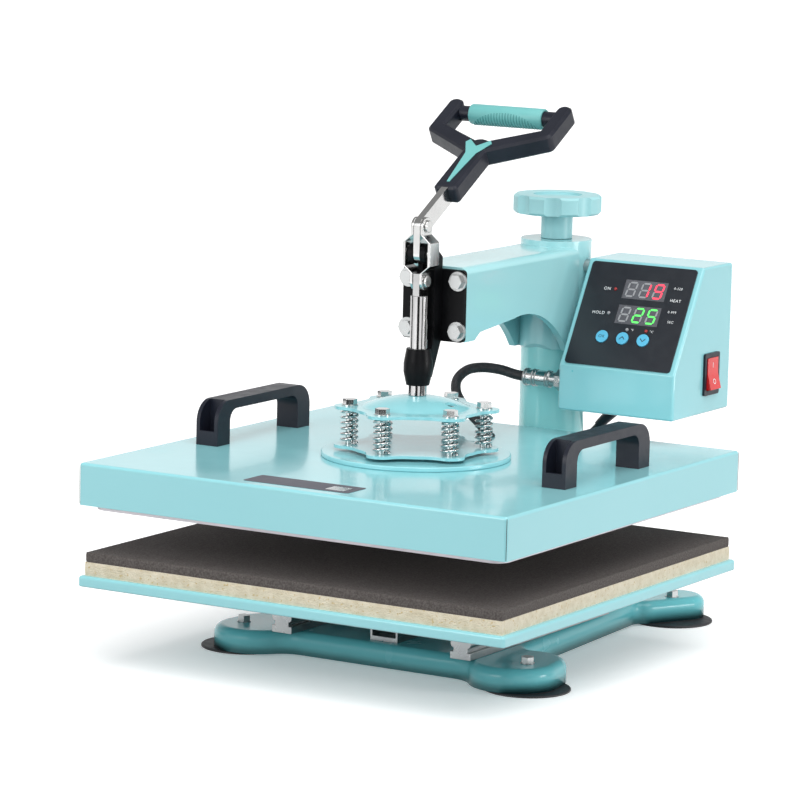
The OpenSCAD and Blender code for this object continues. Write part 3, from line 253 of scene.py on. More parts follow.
finishSettings = {
    "mintPaint": dict(tones=((0.250, 0.575, 0.620), (0.265, 0.595, 0.640)), rough=(0.16, 0.24), mottle=5,
                      grain=(420, 0.04, 0.0004), coat=0.30),
    # the arm's paint is mintPaint made lighter: painted light on the brightly lit arm
    "armPaintLit": dict(tones=((0.350, 0.670, 0.700), (0.365, 0.690, 0.720)), rough=(0.16, 0.24), mottle=5,
                     grain=(420, 0.04, 0.0004), coat=0.30),
    # the column's paint is mintPaint made lighter: painted light on the column, which otherwise sits in
    # shade
    "columnPaintLit": dict(tones=((0.280, 0.690, 0.700), (0.295, 0.710, 0.720)), rough=(0.16, 0.24),
                        mottle=5, grain=(420, 0.04, 0.0004), coat=0.30),
    # the base casting's mint paint, made darker and more saturated: painted shade from the plates above it;
    # the same darkened paint stands for the shaded inside of the box's small hole
    "shadedCastPaint": dict(tones=((0.130, 0.490, 0.535), (0.145, 0.515, 0.560)), rough=(0.20, 0.28), mottle=8,
                      grain=(160, 0.05, 0.0005), coat=0.3, coatRough=0.12, specular=0.25),
    "mintPlastic": dict(tones=((0.330, 0.620, 0.650), (0.350, 0.645, 0.675)), rough=(0.34, 0.44),
                        mottle=14, grain=(900, 0.06, 0.0003)),
    # the grip's ribs in a darker copy of the grip's mint: painted shade that shows their relief
    "gripRibShade": dict(tones=((0.075, 0.300, 0.300), (0.090, 0.330, 0.325)), rough=(0.42, 0.52), mottle=40),
    "mintGrip": dict(tones=((0.140, 0.440, 0.435), (0.160, 0.470, 0.460)), rough=(0.42, 0.52), mottle=40,
                     grain=(1600, 0.10, 0.0003)),
    "blackPlastic": dict(tones=((0.008, 0.010, 0.018), (0.013, 0.015, 0.025)), rough=(0.32, 0.44),
                         mottle=30, grain=(1400, 0.12, 0.0003), specular=0.30),
    "blackPowder": dict(tones=((0.003, 0.003, 0.0035), (0.006, 0.006, 0.007)), rough=(0.28, 0.40),
                        mottle=60, grain=(1100, 0.20, 0.0004), specular=0.10),
    "rubberFoot": dict(tones=((0.016, 0.016, 0.019), (0.026, 0.026, 0.030)), rough=(0.45, 0.62),
                       mottle=40, grain=(700, 0.15, 0.0004)),
    "nickel": dict(tones=((0.56, 0.56, 0.555), (0.62, 0.62, 0.615)), rough=(0.10, 0.20), metal=1,
                   mottle=70, grain=(260, 0.04, 0.0003), stretch=(1, 1, 0.25)),
    # the plunger's chrome, darker than the nickel: painted dark reflection on the rod
    "shadedRodChrome": dict(tones=((0.40, 0.40, 0.40), (0.44, 0.44, 0.44)), rough=(0.08, 0.13), metal=1,
                      mottle=40),
    "zinc": dict(tones=((0.44, 0.45, 0.45), (0.47, 0.48, 0.48)), rough=(0.26, 0.32), metal=1, mottle=30),
    "drawnAlloy": dict(tones=((0.32, 0.33, 0.34), (0.40, 0.41, 0.41)), rough=(0.24, 0.36), metal=1,
                       mottle=60, grain=(340, 0.12, 0.0003), stretch=(1, 0.05, 1)),
    "coatedAlloy": dict(tones=((0.60, 0.57, 0.61), (0.68, 0.65, 0.69)), rough=(0.36, 0.50), metal=0.4,
                        mottle=20, grain=(600, 0.08, 0.0003)),
    "brass": dict(tones=((0.60, 0.42, 0.18), (0.72, 0.53, 0.25)), rough=(0.25, 0.38), metal=1,
                  mottle=60),
    "felt": dict(tones=((0.610, 0.540, 0.390), (0.720, 0.660, 0.520)), rough=(0.88, 0.98), mottle=150,
                 grain=(900, 0.75, 0.0016), sheen=0.3,
                 flecks={"scale": 420, "from": 0.62, "tone": (0.560, 0.440, 0.230)}),
    "foam": dict(tones=((0.064, 0.055, 0.052), (0.120, 0.108, 0.102)), rough=(0.82, 0.95), mottle=700,
                 grain=(1500, 0.5, 0.0008), specular=0.3),
    "glassWool": dict(tones=((0.60, 0.52, 0.34), (0.72, 0.64, 0.44)), rough=(0.9, 1.0), mottle=80,
                      grain=(500, 0.6, 0.001)),
    "panelFilm": dict(tones=((0.010, 0.012, 0.018), (0.014, 0.017, 0.023)), rough=(0.30, 0.38),
                      mottle=30, grain=(2200, 0.05, 0.0002)),
    "smokedWindow": dict(tones=((0.095, 0.095, 0.108), (0.110, 0.110, 0.124)), rough=(0.22, 0.30),
                         mottle=60, grain=(900, 0.02, 0.0002)),
    "boardGreen": dict(tones=((0.02, 0.14, 0.05), (0.03, 0.20, 0.08)), rough=(0.35, 0.5), mottle=60),
    "blueButton": dict(tones=((0.090, 0.430, 0.640), (0.110, 0.470, 0.690)), rough=(0.30, 0.40),
                       mottle=60, grain=(1500, 0.05, 0.0002)),
    "redPlastic": dict(tones=((0.620, 0.010, 0.012), (0.700, 0.016, 0.018)), rough=(0.18, 0.28),
                       mottle=60, grain=(900, 0.03, 0.0002), coat=0.3),
    "redLens": dict(tones=((0.30, 0.02, 0.02), (0.38, 0.03, 0.03)), rough=(0.15, 0.25), mottle=60),
    "cableSleeve": dict(tones=((0.012, 0.012, 0.015), (0.030, 0.030, 0.034)), rough=(0.50, 0.66),
                        mottle=300, grain=(900, 0.35, 0.0005)),
    "cordRubber": dict(tones=((0.010, 0.010, 0.012), (0.018, 0.018, 0.020)), rough=(0.38, 0.50),
                       mottle=60, grain=(800, 0.10, 0.0003)),
    "whitePrint": dict(tones=((0.78, 0.79, 0.80), (0.84, 0.85, 0.86)), rough=(0.45, 0.55), mottle=40),
    "ghostBar": dict(tones=((0.290, 0.290, 0.305), (0.330, 0.330, 0.345)), rough=(0.35, 0.45),
                     mottle=40),
    "darkPrint": dict(tones=((0.015, 0.02, 0.03), (0.02, 0.03, 0.04)), rough=(0.45, 0.55), mottle=40),
    "barePlate": dict(tones=((0.105, 0.105, 0.125), (0.125, 0.125, 0.145)), rough=(0.60, 0.72),
                      mottle=30, grain=(700, 0.06, 0.0002), specular=0.2),
    "silverPatch": dict(tones=((0.62, 0.63, 0.64), (0.74, 0.75, 0.75)), rough=(0.22, 0.34), metal=0.9,
                        mottle=90),
}
finishes = {name: surface(name, **settings) for name, settings in finishSettings.items()}


def glow(name, tone, strength):
    mat = surface(name, (tone, tone), (0.3, 0.4))
    shader = mat.node_tree.nodes["Principled BSDF"]
    shader.inputs["Emission Color"].default_value = (*tone, 1)
    shader.inputs["Emission Strength"].default_value = strength
    return mat


finishes["redGlow"] = glow("redGlow", (1.0, 0.05, 0.09), 1.3)
finishes["greenGlow"] = glow("greenGlow", (0.10, 0.85, 0.12), 1.0)
print("finishes:", len(finishes))

# finish and broken edge, in mm, of each node that isn't made anew below
wear = {
    # the column's lighter paint carries painted light
    "rubber_feet": ("rubberFoot", 0.5), "foot_bolts": ("zinc", 0.4), "column_post": ("columnPaintLit", 0.6),
    "column_nut": ("brass", 0), "rail_left": ("drawnAlloy", 0.4), "rail_right": ("drawnAlloy", 0.4),
    "center_channel": ("drawnAlloy", 0.3), "lower_plate": ("mintPaint", 1.3),
    "slider_left": ("drawnAlloy", 0.4), "slider_right": ("drawnAlloy", 0.4),
    "guide_block": ("blackPlastic", 0.5), "lift_collar": ("zinc", 0), "pressure_screw": ("zinc", 0.4),
    # the arm's lighter paint carries painted light
    "pressure_knob": ("mintPlastic", 1.4), "swing_arm": ("armPaintLit", 2.2),
    "toggle_bracket": ("blackPowder", 0.8), "bracket_bolts": ("zinc", 0.4),
    "fulcrum_pin": ("nickel", 0.5), "box_shell": ("mintPaint", 1.4), "box_back": ("mintPaint", 0.3),
    "box_spacers": ("zinc", 0.3), "control_panel": ("panelFilm", 0.2),
    "temp_display": ("smokedWindow", 0.2), "time_display": ("smokedWindow", 0.2),
    "controller_board": ("boardGreen", 0), "rocker_frame": ("blackPlastic", 0.7),
    "aviation_socket": ("zinc", 0.4), "aviation_plug": ("nickel", 0.6),
    "cord_gland": ("blackPlastic", 0.5), "cord_tie": ("blackPlastic", 0.4),
    "mains_plug": ("cordRubber", 1.6), "rocker": ("redPlastic", 0.8), "button_set": ("blueButton", 0.5),
    "button_up": ("blueButton", 0.5), "button_down": ("blueButton", 0.5), "lever_bar": ("nickel", 0.7),
    "handle_yoke": ("blackPlastic", 1.2), "handle_bar": ("blackPlastic", 0.4),
    "handle_inlay": ("mintGrip", 0.2), "link_plates": ("nickel", 0.5), "toggle_rivets": ("nickel", 0.7),
    # the plunger's darker chrome is a painted dark reflection
    "plunger": ("shadedRodChrome", 0.5), "plunger_nut": ("zinc", 0.4), "upper_spider": ("mintPaint", 0.8),
    "lower_spider": ("mintPaint", 0.8), "mounting_disc": ("mintPaint", 1.0),
    "spring_bolts": ("nickel", 0.4), "platen_cover": ("mintPaint", 0.9), "insulation": ("glassWool", 0),
    "heating_plate": ("coatedAlloy", 0.6), "side_handles": ("blackPlastic", 1.6),
}


def dress(piece, finish):
    piece.data.materials.clear()
    piece.data.materials.append(finishes[finish])


def newPiece(name, bm, finish, body, smooth=True):
    mesh = bpy.data.meshes.new(name)
    bm.to_mesh(mesh)
    bm.free()
    for face in mesh.polygons:
        face.use_smooth = smooth
    piece = bpy.data.objects.new(name, mesh)
    scene.collection.objects.link(piece)
    dress(piece, finish)
    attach(piece, body)
    return piece


def keepFlats(piece):
    flats = piece.modifiers.new("flatNormals", "WEIGHTED_NORMAL")
    flats.keep_sharp = True


def breakEdges(piece, width, segments=3, angle=32):
    bevel = piece.modifiers.new("brokenEdges", "BEVEL")
    bevel.width = width * mm
    bevel.segments = segments
    bevel.limit_method = "ANGLE"
    bevel.angle_limit = math.radians(angle)
    bevel.harden_normals = True
    keepFlats(piece)


cleaning = {"cadWeld": 0.004, "weld": 0.003, "flat": 0.6}  # mm, mm and degrees


def cleanCopy(node):  # merged copy of a node's mesh, flat areas as single faces
    bm = bmesh.new()
    bm.from_mesh(nodes[node].data)
    bmesh.ops.remove_doubles(bm, verts=bm.verts, dist=cleaning["cadWeld"] * mm)
    bmesh.ops.dissolve_limit(bm, angle_limit=math.radians(cleaning["flat"]), use_dissolve_boundaries=False,
                             verts=bm.verts, edges=bm.edges, delimit={"NORMAL"})
    return bm


def closeUp(bm):  # merge doubled points, faces outwards
    bmesh.ops.remove_doubles(bm, verts=bm.verts, dist=cleaning["weld"] * mm)
    bmesh.ops.recalc_face_normals(bm, faces=bm.faces)


def turnedShape(bm, line, steps, place):  # line of radius and height in mm, turned about its own z
    old = set(bm.verts)
    verts = [bm.verts.new((r * mm, 0, z * mm)) for r, z in line]
    edges = [bm.edges.new(pair) for pair in zip(verts, verts[1:])]
    bmesh.ops.spin(bm, geom=edges, cent=(0, 0, 0), axis=(0, 0, 1), angle=math.tau, steps=steps,
                   use_merge=True)
    bmesh.ops.transform(bm, matrix=place, verts=[v for v in bm.verts if v not in old])


for node, (finish, edge) in wear.items():
    if edge:
        soft = newPiece(node + "_soft", cleanCopy(node), finish, bodyOf[node])
        breakEdges(soft, edge)
        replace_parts(soft, node)
    else:
        dress(nodes[node], finish)
print("edges broken and finishes on")

# power cord: gland, down behind the column, coil on the floor, plug
powerCord = {"diameter": 6, "coilAt": (-20, 427.5), "coilRadius": 33, "loops": 3, "gap": 0.8, "lift": 1.8,
             "perTurn": 24, "straight": 2, "cuts": 6, "tail": (10, 30),
             "relief": ((52, 260, 186.3), (28, 265, 164.3)),
             "route": [(18, 267.5, 153.3), (8, 284.5, 138), (3, 305.5, 108), (2, 329.5, 76), (5, 354.5, 49),
                       (13, 379.5, 24), (21, 401.5, 8)]}
cordSides = 5  # Blender's bevel resolution


def smoothPath(points, cuts):
    points = [Vector(p) for p in points]
    path = []
    for i in range(len(points) - 1):
        b, c = points[i], points[i + 1]
        a = points[i - 1] if i else 2 * b - c
        d = points[i + 2] if i + 2 < len(points) else 2 * c - b
        for k in range(cuts):
            t = k / cuts
            path.append(0.5 * (2 * b + (c - a) * t + (2 * a - 5 * b + 4 * c - d) * t * t
                               + (3 * b - a - 3 * c + d) * t ** 3))
    return path + [points[-1]]


def runLength(path):
    return sum((b - a).length for a, b in zip(path, path[1:]))


def cordLine(name, path, diameter, finish):
    curve = bpy.data.curves.new(name, "CURVE")
    curve.dimensions = "3D"
    spline = curve.splines.new("POLY")
    spline.points.add(len(path) - 1)
    for point, place in zip(spline.points, path):
        point.co = (*place, 1)
    curve.bevel_depth = diameter / 2
    curve.bevel_resolution = cordSides
    curve.use_fill_caps = True
    piece = bpy.data.objects.new(name, curve)
    scene.collection.objects.link(piece)
    curve.materials.append(finishes[finish])
    return piece


def coilTurns(outer, pitch, low):  # inwards on the floor, up by half a turn, outwards above
    loops, perTurn = powerCord["loops"], powerCord["perTurn"]
    steps, half, turn = perTurn * loops, perTurn // 2, 360 / perTurn
    turns = [(turn * i, outer - pitch * i / perTurn, low) for i in range(steps + 1)]
    for i in range(1, half + 1):
        rise = pitch * (1 - math.cos(math.radians(turn * i))) / 2
        turns.append((turn * (steps + i), outer - pitch * loops, low + rise))
    turns += [(turn * (steps + half + i), outer - pitch * (loops - i / perTurn), low + pitch)
              for i in range(1, steps - half + 1)]
    x, y = powerCord["coilAt"]
    return [(x + r * math.cos(math.radians(a)), y + r * math.sin(math.radians(a)), z) for a, r, z in turns]


def makePowerCord():
    c = powerCord
    pitch = c["diameter"] + c["gap"]
    outer = c["coilRadius"] + c["loops"] * pitch / 2
    low = c["lift"] + c["diameter"] / 2
    ring = coilTurns(outer, pitch, low)
    x, y, z = ring[-1]
    tail = [(x, y + run, z) for run in c["tail"]]
    root, leave = (Vector(p) for p in c["relief"])
    begin = leave + (leave - root).normalized() * c["straight"]
    near = Vector((c["coilAt"][0] + outer, c["coilAt"][1] - c["diameter"], low))
    meet = [near - Vector((0, run, 0)) for run in (c["diameter"], c["straight"])]
    lead = [leave] + smoothPath([begin] + c["route"] + meet, c["cuts"]) + [near]
    path = [spot(*p) for p in lead + ring + tail]
    cord = cordLine("powerLead", path, c["diameter"] * mm, "cordRubber")
    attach(cord, "arm")
    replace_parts(cord, "power_cord", "cord_coil")
    print("power cord", round(runLength(path), 3), "m")


makePowerCord()

# heater cable: from the round plug over to the cover
heaterCable = {"diameter": 8.6, "start": (-1, 184, 213.3), "end": (-6, 126, 168.3), "inPlug": 3.4,
               "cuts": 6,
               "fromPlug": [(0, 0, 0), (-11, 0, 1), (-23, -3, 4), (-36, -10, 5.5), (-45, -21, 4),
                            (-48, -33, -2.5), (-44, -43, -10)],
               "toCover": [(-32, 10, 27), (-20, 5, 18.5), (-7, 1, 10.5), (0, 0, 4)]}


def makeHeaterCable():
    start, end = Vector(heaterCable["start"]), Vector(heaterCable["end"])
    route = [start + Vector(p) for p in heaterCable["fromPlug"]]
    route += [end + Vector(p) for p in heaterCable["toCover"]]
    inside = start + Vector((heaterCable["inPlug"], 0, 0))
    path = [spot(*p) for p in [inside] + smoothPath(route, heaterCable["cuts"]) + [end]]
    line = cordLine("cableLine", path, heaterCable["diameter"] * mm, "cableSleeve")
    bpy.context.view_layer.update()
    mesh = bpy.data.meshes.new_from_object(line.evaluated_get(bpy.context.evaluated_depsgraph_get()))
    bpy.data.objects.remove(line)
    cable = bpy.data.objects.new("heaterLead", mesh)
    scene.collection.objects.link(cable)
    dress(cable, "cableSleeve")
    for face in mesh.polygons:
        face.use_smooth = True
    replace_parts(cable, "heater_cable")
    # the cover sinks 0.767 as far as the plunger: the blend ends past the cable, whose foot stays above it
    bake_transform(cable)
    print("heater cable", round(runLength(path), 3), "m")


makeHeaterCable()

# casting with its rounded upper edge, in the mint paint darkened as painted shade from the plates above
# skin and below in mm, upright is the most that a wall's normal leans
casting = {"edge": 7.5, "segments": 7, "holes": [(135, -45.5), (103.5, 268)], "holeReach": 6,
           "skin": 0.5, "below": 1, "upright": 0.2}


def makeCasting():
    bm = cleanCopy("base_casting")
    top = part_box("base_casting")[1].z
    holes = [spot(side * x, y, 0) for side in (-1, 1) for x, y in casting["holes"]]

    def onTop(v):
        return v.co.z > top - casting["skin"] * mm

    def wall(face):
        return (abs(face.normal.z) < casting["upright"]
                and face.calc_center_median().z < top - casting["below"] * mm)

    def atHole(v):
        return any((v.co - hole).xy.length < casting["holeReach"] * mm for hole in holes)

    rim = [e for e in bm.edges if all(onTop(v) for v in e.verts) and any(wall(f) for f in e.link_faces)
           and not any(atHole(v) for v in e.verts)]
    bmesh.ops.bevel(bm, geom=rim, offset=casting["edge"] * mm, segments=casting["segments"], profile=0.5,
                    affect="EDGES", material=-1, clamp_overlap=False)
    piece = newPiece("castingRound", bm, "shadedCastPaint", "base")
    keepFlats(piece)
    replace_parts(piece, "base_casting")


makeCasting()
print("casting")

# six pressure springs, wound by a spin with a rise
spring = {"wire": 2.2, "outer": 15, "turns": 6, "low": 177.3, "high": 206.8, "circle": 55,
          "count": 6, "firstAt": -90, "sides": 10, "perTurn": 28}


def makeSprings():
    bm = bmesh.new()
    wire = spring["wire"]
    steps = spring["turns"] * spring["perTurn"]
    rise = (spring["high"] - spring["low"] - wire) * mm / steps
    first = Vector(((spring["outer"] - wire) / 2, 0, spring["low"] + wire / 2)) * mm
    for k in range(spring["count"]):
        a = math.radians(360 * k / spring["count"] + spring["firstAt"])
        centre = spot(spring["circle"] * math.cos(a), spring["circle"] * math.sin(a), 0)
        ring = bmesh.ops.create_circle(bm, segments=spring["sides"], radius=wire / 2 * mm,
                                       cap_ends=True)["verts"]
        bmesh.ops.rotate(bm, verts=ring, cent=(0, 0, 0), matrix=Matrix.Rotation(math.radians(90), 3, "X"))
        bmesh.ops.translate(bm, verts=ring, vec=centre + first)
        begin = list({f for v in ring for f in v.link_faces})
        bmesh.ops.spin(bm, geom=begin, cent=centre, axis=(0, 0, 1), dvec=(0, 0, rise),
                       angle=math.tau * spring["turns"], steps=steps)
    bmesh.ops.recalc_face_normals(bm, faces=bm.faces)
    piece = newPiece("pressureSprings", bm, "nickel", "plunger")
    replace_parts(piece, "springs")
    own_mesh(piece)


makeSprings()
print("springs")

# pads: felt below, foamed silicone above, both with slightly uneven cut edges
pads = {"felt_pad": {"finish": "felt", "uneven": 0.55}, "silicone_pad": {"finish": "foam", "uneven": 0.25}}
# waves are scale and share, arris is the extra mm at upper and lower edges, atSide a share of the width
padCut = {"cells": 110, "layers": 4, "waves": ((260, 0.6), (900, 0.4)), "arris": 0.3, "atSide": 0.4995,
          "sharp": 40}


def made(result, kind):
    return [part for part in result["geom"] if isinstance(part, kind)]


def makePad(node, settings):
    low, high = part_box(node)
    size = high - low
    middle = (low + high) / 2
    bm = bmesh.new()
    bmesh.ops.create_grid(bm, x_segments=padCut["cells"], y_segments=padCut["cells"], size=0.5)
    bmesh.ops.scale(bm, vec=(size.x, size.y, 1), verts=bm.verts)
    bmesh.ops.translate(bm, vec=(middle.x, middle.y, low.z), verts=bm.verts)
    layer = list(bm.faces)
    for k in range(padCut["layers"]):
        up = bmesh.ops.extrude_face_region(bm, geom=layer, use_keep_orig=k == 0)
        layer = made(up, bmesh.types.BMFace)
        bmesh.ops.translate(bm, vec=(0, 0, size.z / padCut["layers"]), verts=made(up, bmesh.types.BMVert))
    bmesh.ops.recalc_face_normals(bm, faces=bm.faces)
    for v in bm.verts:
        wave = sum(noise.noise(v.co * scale) * share for scale, share in padCut["waves"])
        pull = settings["uneven"] * mm * (0.5 + 0.5 * wave)
        if abs(v.co.z - middle.z) > size.z / 2 - padCut["arris"] * mm:
            pull += padCut["arris"] * mm
        away = v.co - middle
        for axis in (0, 1):
            if abs(away[axis]) > size[axis] * padCut["atSide"]:
                v.co[axis] -= math.copysign(pull, away[axis])
    piece = newPiece(node + "_soft", bm, settings["finish"], bodyOf[node])
    piece.data.set_sharp_from_angle(angle=math.radians(padCut["sharp"]))
    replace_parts(piece, node)


for node, settings in pads.items():
    makePad(node, settings)
print("pads")

# grip on the lever's cross bar, ribbed over an oval, the ribs in a darker mint as painted shade of their
# relief
grip = {"length": 70, "radius": 8.6, "bore": 6.6, "rounding": [(0, 1.2), (0.35, 0.4), (1.2, 0)],
        "steps": 64, "ribs": 24, "ribbed": 31, "ribSteps": 26, "oval": 1.02, "least": 0.03,
        "ribLine": [(-0.62, -0.1), (-0.32, 0.52), (0, 0.6), (0.32, 0.52), (0.62, -0.1)],
        "reach": 105, "face": -128, "at": 161, "tilt": 30, "rivet": 358.3}


def leverPlace():
    tilt = Matrix.Rotation(math.radians(grip["tilt"]), 4, "X")
    return Matrix.Translation(spot(0, 0, grip["rivet"])) @ tilt


def gripTube():
    half, r, bore = grip["length"] / 2, grip["radius"], grip["bore"]
    left = [(-half, bore)] + [(-half + along, r - down) for along, down in grip["rounding"]]
    line = left + [(-x, z) for x, z in reversed(left)]
    bm = bmesh.new()
    verts = [bm.verts.new((x * mm, 0, z * mm)) for x, z in line]
    edges = [bm.edges.new(pair) for pair in zip(verts, verts[1:] + verts[:1])]
    bmesh.ops.spin(bm, geom=edges, cent=(0, 0, 0), axis=(1, 0, 0), angle=math.tau, steps=grip["steps"],
                   use_merge=True)
    return bm


def gripRibs():
    bm = bmesh.new()
    for k in range(grip["ribs"]):
        x = grip["ribbed"] * (2 * k / (grip["ribs"] - 1) - 1)
        share = 1 - (x / (grip["ribbed"] * grip["oval"])) ** 2
        spread = grip["reach"] * math.sqrt(max(grip["least"], share))
        start = math.radians(grip["face"] - spread)
        out = Vector((0, math.cos(start), math.sin(start)))
        rib = [bm.verts.new((Vector((x + along, 0, 0)) + out * (grip["radius"] + up)) * mm)
               for along, up in grip["ribLine"]]
        bmesh.ops.spin(bm, geom=[bm.faces.new(rib)], cent=(0, 0, 0), axis=(1, 0, 0),
                       angle=math.radians(2 * spread), steps=grip["ribSteps"])
    return bm


def makeGrip():
    place = leverPlace() @ Matrix.Translation((0, grip["at"] * mm, 0))
    # the ribs take the darker grip finish, painted shade along their relief
    for name, bm, finish in (("gripTube", gripTube(), "mintGrip"), ("gripRibs", gripRibs(), "gripRibShade")):
        closeUp(bm)
        bmesh.ops.transform(bm, matrix=place, verts=bm.verts)
        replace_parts(newPiece(name, bm, finish, "lever"), "handle_grip")


makeGrip()
print("grip")

# panel marks: places in mm across, up and out of the sloping face
panel = {"corner": (42, 172, 228.3), "slope": math.atan2(87, 50), "lift": 2.67, "face": 1.2, "print": 0.08,
         "words": [("ON", 20.8, 70.6, 3.9), ("HOLD", 18.8, 48.1, 3.9), ("0-220", 86.8, 76.2, 2.9),
                   ("HEAT", 87.2, 65, 3.7), ("0-999", 87, 54.4, 2.9), ("SEC", 88, 45.4, 3.1),
                   ("\u00b0F", 54.8, 34.9, 2.9), ("\u00b0C", 73.1, 35.1, 2.9)],
         "spacing": 1.2,
         "lights": [(28.5, 70.8, True), (28.5, 48.5, False), (50, 34.9, False), (68, 35.2, True)],
         "lamp": {"radius": 1.5, "dome": 1.2, "deep": 6, "rings": 6, "steps": 20}}


def panelPlace(u, v, w=0.0):
    return (Matrix.Translation(spot(*panel["corner"])) @ Matrix.Rotation(panel["slope"], 4, "X")
            @ Matrix.Translation(Vector((u, v + panel["lift"], w)) * mm))


def addText(bm, words, size, place):
    curve = bpy.data.curves.new("words", "FONT")
    curve.body = words
    curve.size = size * mm
    curve.space_character = panel["spacing"]
    curve.align_x = "CENTER"
    curve.align_y = "CENTER"
    letters = bpy.data.objects.new("words", curve)
    scene.collection.objects.link(letters)
    bpy.context.view_layer.update()
    mesh = bpy.data.meshes.new_from_object(letters.evaluated_get(bpy.context.evaluated_depsgraph_get()))
    bpy.data.objects.remove(letters)
    mesh.transform(place)
    bm.from_mesh(mesh)


def addOutline(bm, points, place, height=0.0):  # flat or raised shape from an outline in mm
    verts = [bm.verts.new(place @ (Vector((x, y, 0)) * mm)) for x, y in points]
    face = bm.faces.new(verts)
    if height:
        up = bmesh.ops.extrude_face_region(bm, geom=[face], use_keep_orig=True)
        rise = place.to_3x3() @ Vector((0, 0, height * mm))
        bmesh.ops.translate(bm, vec=rise, verts=made(up, bmesh.types.BMVert))


def makePanelMarks():
    bm = bmesh.new()
    for words, u, v, size in panel["words"]:
        addText(bm, words, size, panelPlace(u, v, panel["face"] + panel["print"]))
    newPiece("panelWords", bm, "whitePrint", "arm", smooth=False)
    lamp = panel["lamp"]
    bends = [math.radians(90 * k / lamp["rings"]) for k in range(lamp["rings"] + 1)]
    line = [(lamp["radius"], -lamp["deep"])]
    line += [(lamp["radius"] * math.cos(a), lamp["dome"] * math.sin(a)) for a in bends]
    for name, lit, finish in (("lightsLit", True, "redLens"), ("lightsDark", False, "ghostBar")):
        bm = bmesh.new()
        for u, v, on in panel["lights"]:
            if on == lit:
                turnedShape(bm, line, lamp["steps"], panelPlace(u, v, panel["face"]))
        closeUp(bm)
        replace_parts(newPiece(name, bm, finish, "arm"), "indicator_leds")


makePanelMarks()

# seven-bar digits in both windows
digits = {"bars": {"1": "bc", "2": "abged", "5": "afgcd", "9": "abcdfg", "": ""},
          "cell": (7.4, 12.6), "bar": 1.5, "gap": 0.35, "sunk": 0.12, "lean": 0.13,
          "rows": [("redGlow", 71.9, ("", "1", "9")), ("greenGlow", 48.7, ("", "2", "5"))],
          "columns": (43.6, 56.3, 69)}


def makeDigits():
    w, h = digits["cell"]
    spots = {"a": (0, h / 2, True), "g": (0, 0, True), "d": (0, -h / 2, True), "b": (w / 2, h / 4, False),
             "c": (w / 2, -h / 4, False), "e": (-w / 2, -h / 4, False), "f": (-w / 2, h / 4, False)}
    t = digits["bar"] / 2
    ghost = bmesh.new()
    for glowing, v, row in digits["rows"]:
        lit = bmesh.new()
        for u, sign in zip(digits["columns"], row):
            for bar, (x, y, flat) in spots.items():
                reach = (w if flat else h / 2) / 2 - digits["gap"]
                inner = reach - t
                hexagon = [(-reach, 0), (-inner, -t), (inner, -t), (reach, 0), (inner, t), (-inner, t)]
                points = [(x + a, y + b) if flat else (x - b, y + a) for a, b in hexagon]
                points = [(a + digits["lean"] * b, b) for a, b in points]
                addOutline(lit if bar in digits["bars"][sign] else ghost, points,
                           panelPlace(u, v, panel["face"] - digits["sunk"]))
        newPiece(glowing + "Digits", lit, glowing, "arm", smooth=False)
    newPiece("ghostDigits", ghost, "ghostBar", "arm", smooth=False)


makeDigits()

# marks on the buttons and the rocker
marks = {"buttons": (28.5, 48, 67.5), "v": 26.6, "top": 2.16, "word": ("OK", 3.9),
         "chevron": [(-2.6, -1.7), (0, 0.8), (2.6, -1.7), (2.6, -0.7), (0, 1.8), (-2.6, -0.7)],
         "rocker": (147, 239, 223.8), "tilt": -7.5, "dish": 6.76, "out": 3.68, "apart": 7, "signSize": 6.5}


def makeMarks():
    setAt, upAt, downAt = marks["buttons"]
    bm = bmesh.new()
    addText(bm, *marks["word"], panelPlace(setAt, marks["v"], marks["top"]))
    newPiece("setMark", bm, "darkPrint", "button_set", smooth=False)
    for name, u, way in (("up", upAt, 1), ("down", downAt, -1)):
        bm = bmesh.new()
        points = [(x, way * y) for x, y in marks["chevron"]][::way]
        addOutline(bm, points, panelPlace(u, marks["v"], marks["top"]))
        newPiece(name + "Mark", bm, "darkPrint", "button_" + name, smooth=False)
    tilt = Matrix.Rotation(math.radians(marks["tilt"]), 4, "Y")
    middle = Matrix.Translation(spot(*marks["rocker"])) @ tilt
    facing = Matrix(((0, 0, 1, 0), (1, 0, 0, 0), (0, 1, 0, 0), (0, 0, 0, 1)))  # seen from the right
    bm = bmesh.new()
    for sign, way in (("I", 1), ("O", -1)):
        half = Matrix.Translation(Vector((marks["out"], 0, way * marks["apart"])) * mm)
        dish = Matrix.Rotation(math.radians(way * marks["dish"]), 4, "Y")
        addText(bm, sign, marks["signSize"], middle @ half @ dish @ facing)
    newPiece("rockerMarks", bm, "whitePrint", "rocker", smooth=False)


makeMarks()
print("panel, digits and marks")

# bare plate on the cover, with a silver patch at its end
coverPlate = {"at": (-1, -170, 168.3), "size": (97, 29), "corner": 2, "thick": 0.4, "edge": 0.12,
              "patch": (17, 15), "patchAt": (33, -2), "patchCorner": 1, "patchThick": 0.1,
              "patchLift": 0.02}


def roundedOutline(w, l, r, steps=6):
    points = []
    for k, (sx, sy) in enumerate(((1, 1), (-1, 1), (-1, -1), (1, -1))):
        for i in range(steps + 1):
            a = math.radians(90 * k + 90 * i / steps)
            points.append((sx * (w / 2 - r) + r * math.cos(a), sy * (l / 2 - r) + r * math.sin(a)))
    return points


